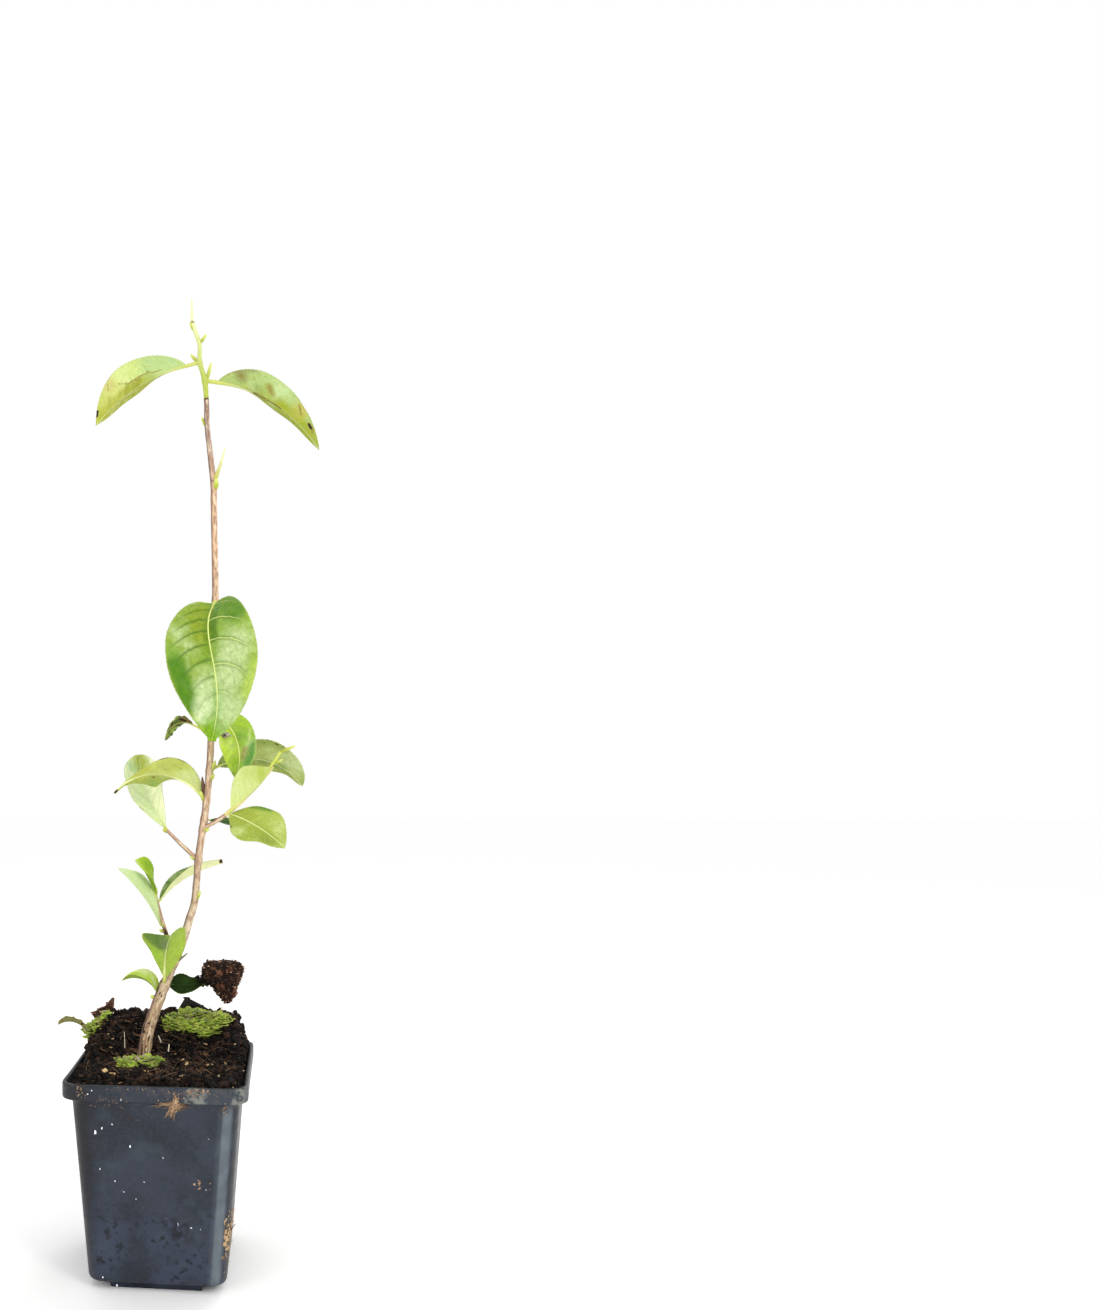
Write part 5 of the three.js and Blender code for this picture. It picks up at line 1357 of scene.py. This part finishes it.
# Withered scrap that is stuck to the hanging leaf
host = next(leaf for leaf in LEAVES if leaf["name"] == "right_hang")
own = np.random.default_rng(3)
bits = on_blade(host, 0.35, -0.68) + own.normal(0, (0.85, 0.4, 0.85), (30, 3))
WITHERED = litter_material("leaf_scrap", 0x2E201A, 0xD6CABC, 0.8)
flakes(own, bits, 1.2, 3.2, 80, 0.7).faceted("leaf_scrap", WITHERED, "leaf_withered")

# Dark scrap that stands behind the ridge, and flakes along its upper edge: x and z of its outline
SCRAP_OUTLINE = np.array([(-6, -1), (-8.4, 4.4), (-5.2, 9.8), (-3.6, 9.4), (2.5, 6.4), (6.5, 4.0),
                          (9.5, 2.2), (10, -3), (-6, -4)])
SCRAP_PLACE = np.array([13, 33, 119.5])
SCRAP_FLAKES = 220
SCRAP_DARK = litter_material("dark_scrap", 0x120D0C, 0x3A2A26, 0.8)
own = np.random.default_rng(7)
edge = SCRAP_OUTLINE[1:7]
along = own.uniform(0, len(edge) - 1, SCRAP_FLAKES)
x, z = (np.interp(along, range(len(edge)), edge[:, k]) for k in (0, 1))
rim = np.stack([x, 0 * along, z - 0.5], axis=1) + SCRAP_PLACE
rim = rim + np.array([0, -1.2, -7]) * own.random((SCRAP_FLAKES, 1)) ** 0.7
flakes(own, rim, 1.0, 3.4, 70, 0.8).faceted("scrap_flakes", SCRAP_DARK)
x, z = SCRAP_OUTLINE.T
front = np.stack([x, -0.7 + 0.12 * x, z], axis=1)
back = np.stack([x * 0.9, 0.7 + 0.12 * x, z - 0.4], axis=1)
Shells().skin(np.array([back, front]) + SCRAP_PLACE, tone=0.2).faceted("dark_scrap", SCRAP_DARK)

# Torn flake of bark that stands up at the left, with flakes down its length
TORN_OUTLINE = np.array([(-6.5, -1), (-8.8, 2), (-4.5, 3.2), (-1, 5.4), (2.6, 9.8), (3.6, 9.2), (3, -2)])
TORN_PLACE = np.array([-35.5, 29.5, 118.5])
TORN_FLAKES = 70
TORN = litter_material("torn_bark", 0x1E110C, 0x8E5C42)
x, z = TORN_OUTLINE.T
front = np.stack([x, -0.6 + 0.3 * z, z], axis=1)
back = np.stack([x + 0.4, 0.6 + 0.3 * z, z], axis=1)
Shells().skin(np.array([back, front]) + TORN_PLACE, tone=0.35).faceted("torn_bark", TORN)
own = np.random.default_rng(5)
down = own.random(TORN_FLAKES)[:, None]
bits = np.array([-6.5, 0, 2]) * (1 - down) + np.array([3, 0, 8]) * down ** 1.4
bits = bits + TORN_PLACE + own.normal(0, (0.8, 0.7, 0.7), (TORN_FLAKES, 3)) - np.array([0, 0, 1])
flakes(own, bits, 0.9, 3.2, 60, 0.8).faceted("torn_flakes", TORN)


# Moss

def lobe_shape():
    """A rounded, slightly cupped lobe about 2 mm long: corners, how near the rim, and faces"""
    rims = 11
    around = np.linspace(-2.5, 2.5, rims)
    rim = np.column_stack([1.0 + np.cos(around), 0.75 * np.sin(around), 0.28 + 0 * around])
    corners = np.concatenate([rim, rim - np.array([0, 0, 0.12]), [[1.1, 0, 0.0], [1.1, 0, -0.16]]])
    sides = [(k, (k + 1) % rims) for k in range(rims)]
    faces = [(2 * rims, a, b) for a, b in sides] + [(2 * rims + 1, rims + b, rims + a) for a, b in sides]
    for a, b in sides:
        faces += [(a, rims + a, rims + b), (a, rims + b, b)]
    return corners, np.repeat([1.0, 0.0], [2 * rims, 2]), faces


LOBE, LOBE_EDGE, LOBE_FACES = lobe_shape()


def cushion_lift(share):
    """How much of its full thickness a cushion has between its middle and its edge"""
    return np.interp(share, [0, 0.4, 0.7, 0.9, 1.03], [1, 1, 0.86, 0.5, 0.05])


def cushion(rng, x, y, across, deep, thick, lobes):
    """A lumpy cushion on the compost, with leafy tips standing out of it"""
    angle = turns(CUSHION_SIDES)
    ragged = 0.1 * rough(np.column_stack([np.cos(angle), np.sin(angle), 0 * angle]), 0.3, 3, x)
    edge = 1 + CUSHION_LOBE * np.sin(lobes * angle) + ragged
    profile = [(0.9, -CUSHION_SINK / thick), (1, 0.1), (0.97, 0.35), (0.9, 0.58), (0.8, 0.76), (0.68, 0.87),
               (0.54, 0.95), (0.4, 1), (0.25, 1), (0.1, 1)]

    def places(share, turn, lift):
        reach = share * np.interp(turn, angle, edge)
        px, py = x + across * reach * np.cos(turn), y + deep * reach * np.sin(turn)
        return np.column_stack([px, py, soil_height(px, py) + thick * lift])

    rings = np.array([places(share, angle, lift) for share, lift in profile])
    rings[1:, :, 2] += 0.5 * rough(rings[1:], 2.2, 4, 3.0)
    shells = Shells().skin(rings, tone=0.35 + 0.5 * rough(rings, 4, 3, 9.0))

    # Flat leafy lobes that radiate and overlap, paler along their edges
    count = round(across * deep * LOBES_PER_AREA)
    turn = rng.uniform(0, 2 * np.pi, count)
    share = np.sqrt(rng.random(count)) * 0.96
    roots = places(share, turn, cushion_lift(share)) - np.array([0, 0, 0.5])
    size = rng.uniform(0.7, 2.3, count)
    spans = [np.ones(count), rng.uniform(0.7, 1.3, count), rng.uniform(0.4, 1.8, count)]
    lobe = LOBE[None] * size[:, None, None] * np.stack(spans, axis=1)[:, None]
    heading = turn + rng.normal(0, 0.7, count)
    rise = np.radians(rng.uniform(-5, 45, count) * rng.random(count))
    ahead = np.stack([np.cos(heading) * np.cos(rise), np.sin(heading) * np.cos(rise), np.sin(rise)], axis=1)
    level = np.stack([-np.sin(heading), np.cos(heading), 0 * heading], axis=1)
    basis = np.stack([ahead, level, np.cross(ahead, level)], axis=1)
    copies = np.einsum("nij,njk->nik", lobe, basis) + roots[:, None]
    return shells.copies(copies, LOBE_FACES, tone=rng.random(count), edge=np.tile(LOBE_EDGE, count))


MOSS = moss_material()
for name, *measures in CUSHIONS:
    cushion(rng, *measures).piece(name + "_tufts", MOSS, "moss", [name])

# Brown and straw-coloured litter that lies on the moss
litter = []
for _, x, y, across, deep, thick, _ in CUSHIONS:
    count = round(across * deep * 0.4)
    px = x + rng.normal(0, 0.42 * across, count)
    py = y + rng.normal(0, 0.42 * deep, count)
    share = np.hypot((px - x) / across, (py - y) / deep)
    litter.append(np.column_stack([px, py, soil_height(px, py) + thick * cushion_lift(share) + 1.0]))
STRAW = litter_material("moss_litter", 0x33261A, 0xD2C49C)
flakes(rng, np.concatenate(litter), 1.2, 4.2, 20, 0.35).faceted("moss_litter", STRAW)


# Clod on the dark leaf's tip, with crumbs, chips and fibres on it and crumbs where it hangs

rings = np.array(CLOD_RINGS, float)
z = np.linspace(rings[0, 0], rings[-1, 0], 46)[:, None]
x, half = (np.interp(z, rings[:, 0], rings[:, k]) for k in (1, 2))
angle = turns(64)
reach = half * (1 + 0.08 * np.sin(3 * angle[None] + z * 0.3))
skin = np.stack([x + reach * np.cos(angle), CLOD_Y + CLOD_DEPTH_SHARE * reach * np.sin(angle),
                 np.broadcast_to(z, reach.shape)], axis=-1)
relief = 0.9 * rough(skin, 4, 5, 2.0) + 0.4 * rough(skin, 1.2, 3, 5.0)
skin = skin + unit(skin - np.array(CLOD_MIDDLE)) * relief[..., None]
CLOD_PEAT = compost_material("clod_peat", 0x180D09, 0x46291C, 0x80543A)
CLOD_WOOD = litter_material("clod_chips", 0x8E5E40, 0xDEB894)
Shells().skin(skin, tone=0.25).faceted("clod_peat", CLOD_PEAT, "compost", ["clod"])
skin = skin.reshape(-1, 3)


def on_clod(count, spread):
    return skin[rng.integers(0, len(skin), count)] + rng.normal(0, spread, (count, 3))


crumbs(rng, on_clod(520, 0.25), 0.4, 1.6).faceted("clod_crumbs", CLOD_PEAT)
flakes(rng, on_clod(380, 0.3), 0.4, 1.7, 80).faceted("clod_chips", CLOD_WOOD)
near_tip = np.array(CLOD_ROOT) + rng.normal(size=(150, 3)) * np.array([2.6, 1.4, 1.7])
crumbs(rng, near_tip, 0.6, 3.0).faceted("clod_root", PEAT)
fibres(rng, skin[rng.integers(0, len(skin), 60)], 5, 0.13, (-40, 40)).piece("clod_fibres", RUSTY)


# Splashes on the pot's outside

def wall_half(z):
    taper = (BODY_TOP_HALF - BODY_BOTTOM_HALF) * (z - FOOT_RISE) / (COLLAR_FOOT - FOOT_RISE)
    return np.where(z > COLLAR_FOOT, RIM_HALF, BODY_BOTTOM_HALF + taper)


def on_front(x, z, out=0.0):
    z = np.asarray(z, float)
    return np.stack([x + 0 * z, -wall_half(z) - out, z], axis=-1)


def speck(shells, rng, place, wide, high, tone):
    """A flat crumb stuck to the front, with uneven corners"""
    shape = BOX * np.array([wide, 0.25, high]) / 2 * rng.uniform(0.35, 1, (8, 1))
    shells.add(shape + rng.uniform(-0.1, 0.1, (8, 3)) + place, BOX_FACES, tone=tone)


# Pale drips by x, z, width and height
DRIPS = [(-28.2, 79.5, 1.1, 2.4), (-25, 81.6, 1.0, 2.2), (-20.1, 83.7, 0.7, 0.8), (-11.6, 73.1, 0.7, 1.4),
         (4.3, 67.8, 0.5, 1.0), (-26.3, 61.2, 0.5, 1.2), (-19.1, 55.5, 0.7, 0.8), (-5, 55.5, 0.5, 0.9),
         (-14.8, 50.2, 0.8, 0.8), (-9, 46.9, 0.5, 0.5), (11.2, 35.3, 0.6, 1.8), (17.5, 33.6, 0.9, 0.8),
         (-25.7, 6.8, 0.6, 1.0), (-18.9, 2.8, 1.0, 1.2), (-31, 99.5, 0.8, 0.9), (-29, 101, 0.5, 0.7),
         (-15, 97, 0.6, 0.6), (24.8, 52.8, 0.7, 0.5), (22, 33, 0.4, 0.7), (26, 78, 0.5, 0.6)]
drips = Shells()
for x, z, wide, high in DRIPS:
    speck(drips, rng, on_front(x, z, 0.02), wide, high, 1.0)
drips.faceted("pot_drips", litter_material("lime_drips", 0xB4BECA, 0xF6F9FC, 0.6))

# Peat and chips by x, z, spread across and up, number and largest size
SPLASHES = [(-34, 99.5, 3, 2.2, 26, 1.0), (-8, 102.2, 9, 0.8, 26, 0.9), (-20, 96, 8, 1.2, 26, 0.9),
            (20, 101.8, 4, 1.6, 34, 1.6), (25, 100.5, 9, 2.0, 34, 0.8), (33, 93.5, 3, 2.5, 16, 1.4),
            (23, 55, 2.6, 2.6, 16, 1.9), (-10, 92, 8, 2.5, 20, 0.7), (0, 60, 26, 24, 26, 0.5),
            (10.6, 95.5, 7, 4, 90, 0.8), (-36, 102, 6, 0.8, 30, 0.9), (12, 100.5, 6, 2, 40, 0.9),
            (-25, 93, 7, 1.5, 24, 0.8)]
stuck = Shells()
for x, z, wide, high, count, largest in SPLASHES:
    px = np.clip(rng.normal(x, wide / 1.6, count), -36, 36)
    pz = np.clip(rng.normal(z, high / 1.6, count), 7, POT_HEIGHT - 0.5)
    for place in on_front(px, pz, 0.02):
        size = largest * rng.uniform(0.25, 1) ** 1.5
        speck(stuck, rng, place, size, size * rng.uniform(0.5, 1.2), rng.random() ** 1.4)
stuck.faceted("pot_specks", litter_material("stuck_peat", 0x44332A, 0xB09478))

# A splayed scrap of root below the collar: where its arms end, their number, radius and tone
STAR = (10.6, 94.8)
ARMS = [(-0.4, 94.6, 9, 0.2, 0.7), (3.5, 95.6, 6, 0.18, 0.6), (16.4, 94.4, 8, 0.2, 0.6),
        (14, 92, 5, 0.18, 0.5), (7, 88.4, 6, 0.28, 1.0), (8.8, 86.4, 3, 0.2, 0.5),
        (11.4, 99.8, 8, 0.3, 1.0), (5.5, 91.5, 4, 0.16, 0.6)]
star = Shells()
for x, z, count, radius, tone in ARMS:
    for _ in range(3 * count):
        ends = np.array([STAR, (x, z)]) + rng.normal(0, (1.3, 1.1), (2, 2))
        u = np.linspace(0, rng.uniform(0.45, 1.1), STRAND_STEPS)[:, None]
        path = ends[0] + (ends[1] - ends[0]) * u
        path = path + 0.7 * np.sin(rng.uniform(3, 8) * u + rng.uniform(0, 6)) * rng.uniform(-1, 1, 2)
        lifted = on_front(path[:, 0], path[:, 1], 0.25)
        lifted[:, 1] = np.minimum(lifted[:, 1], -wall_half(lifted[:, 2]) - 0.1)
        thick = 0.62 * radius * (1.2 - 0.8 * u[:, 0])
        star.skin(tube_rings(lifted, thick, STRAND_SIDES), tone=min(1, tone * rng.uniform(0.1, 1.4)))
STAR_BROWN = litter_material("star_root", 0x52351F, 0xC8A47E)
star.piece("root_star", STAR_BROWN)

# Shreds on the right wall, and a few below the collar at the left of the front
shreds = Shells()
for _ in range(60):
    z = rng.normal(28, 6)
    y = rng.uniform(-30, -16)
    start = np.array([wall_half(z) + 0.1, y, z])
    strand(shreds, rng, start, rng.choice([90, -90]) + rng.normal(0, 15), rng.uniform(-70, 70),
           rng.uniform(1.5, 4.5), rng.uniform(0.1, 0.3), rng.uniform(-30, 30), rng.random())
for x, z, heading, length in ((-11, 87.5, 200, 2.4), (-9, 86.5, 15, 2.2)):
    for _ in range(2):
        strand(shreds, rng, on_front(x + rng.normal(0, 0.6), z + rng.normal(0, 0.4), 0.1),
               heading, rng.uniform(-20, 20), length, 0.09, rng.uniform(-40, 40), 0.15)
shreds.piece("stuck_shreds", STAR_BROWN)

# Clots on the right wall by distance off it, y, z and size, and chips round the front right corner
CLOTS = [(0.05, -27.5, 31.6, 2.4), (0.1, -24, 22.5, 2.0), (0.05, -22, 29, 1.5), (0.05, -26, 35.8, 1.4)]
clots = Shells()
for off, y, z, size in CLOTS:
    shape = BOX * np.array([0.3, size, size * 1.3]) / 2 + rng.uniform(-0.3, 0.3, (8, 3))
    clots.add(shape + np.array([wall_half(z) + off, y, z]), BOX_FACES, tone=0.9)
for _ in range(110):
    z, turned = rng.normal(29, 6), np.radians(rng.uniform(38, 90))
    size = rng.uniform(0.6, 3.0) * rng.random()
    rim = wall_half(z) - BODY_CORNER
    out = np.array([np.sin(turned), -np.cos(turned), 0])
    across = np.array([np.cos(turned), np.sin(turned), 0])
    shape = BOX * np.array([size, 0.3, size * 1.2]) / 2 * rng.uniform(0.4, 1, (8, 1))
    place = np.array([rim, -rim, z]) + (BODY_CORNER + 0.1) * out
    clots.add(shape @ np.stack([across, out, [0, 0, 1]]) + place, BOX_FACES, tone=rng.random())
clots.faceted("stuck_chips", litter_material("stuck_chips", 0x402B1C, 0xD2B286, 0.8))


# Floor, lights and camera

FLOOR_SIZE = 12
FLOOR_WHITE = (0.99, 0.99, 0.99, 1)
bpy.ops.mesh.primitive_plane_add(size=FLOOR_SIZE, location=(0, 0, 0))
floor = bpy.context.object
floor.name = "floor"
pale_floor = Graph("pale_floor", 0.9)
pale_floor.plug("Base Color", FLOOR_WHITE)
floor.data.materials.append(pale_floor.material)

WHITE_LIGHT = (1, 1, 1, 1)
scene = bpy.context.scene
scene.world = bpy.data.worlds.new("studio")
scene.world.use_nodes = True
sky = scene.world.node_tree.nodes["Background"]
sky.inputs["Color"].default_value = WHITE_LIGHT
sky.inputs["Strength"].default_value = 1

# Soft round lights in metres and watts, all aimed at the middle of the plant
LIGHTS_AIM = (0.01, 0, 0.25)
for name, place, size, watts, tint in (("key", (0.75, -0.75, 0.95), 0.4, 4, (1, 0.98, 0.94)),
                                       ("fill", (-0.8, -0.9, 0.6), 0.6, 2.4, (1, 1, 1)),
                                       ("rim", (0.5, 0.9, 0.8), 0.6, 3, (1, 1, 1))):
    data = bpy.data.lights.new(name, "AREA")
    data.shape = "DISK"
    data.size = size
    data.energy = watts
    data.color = tint
    light = bpy.data.objects.new(name, data)
    light.location = place
    light.rotation_euler = (Vector(LIGHTS_AIM) - Vector(place)).to_track_quat("-Z", "Y").to_euler()
    scene.collection.objects.link(light)

data = bpy.data.cameras.new("camera")
data.lens = LENS
data.sensor_width = SENSOR
data.shift_x = (PHOTO_WIDTH / 2 - PRINCIPAL_X) / PHOTO_HEIGHT
data.shift_y = (PRINCIPAL_Y - PHOTO_HEIGHT / 2) / PHOTO_HEIGHT
data.clip_start = 0.01
eye = bpy.data.objects.new("camera", data)
eye.location = [c * MM for c in CAMERA_PLACE]
eye.rotation_euler = (math.radians(90 - CAMERA_DIP), 0, math.radians(CAMERA_TURN))
scene.collection.objects.link(eye)
bpy.context.scene.camera = eye
bpy.context.scene.view_settings.view_transform = "Standard"
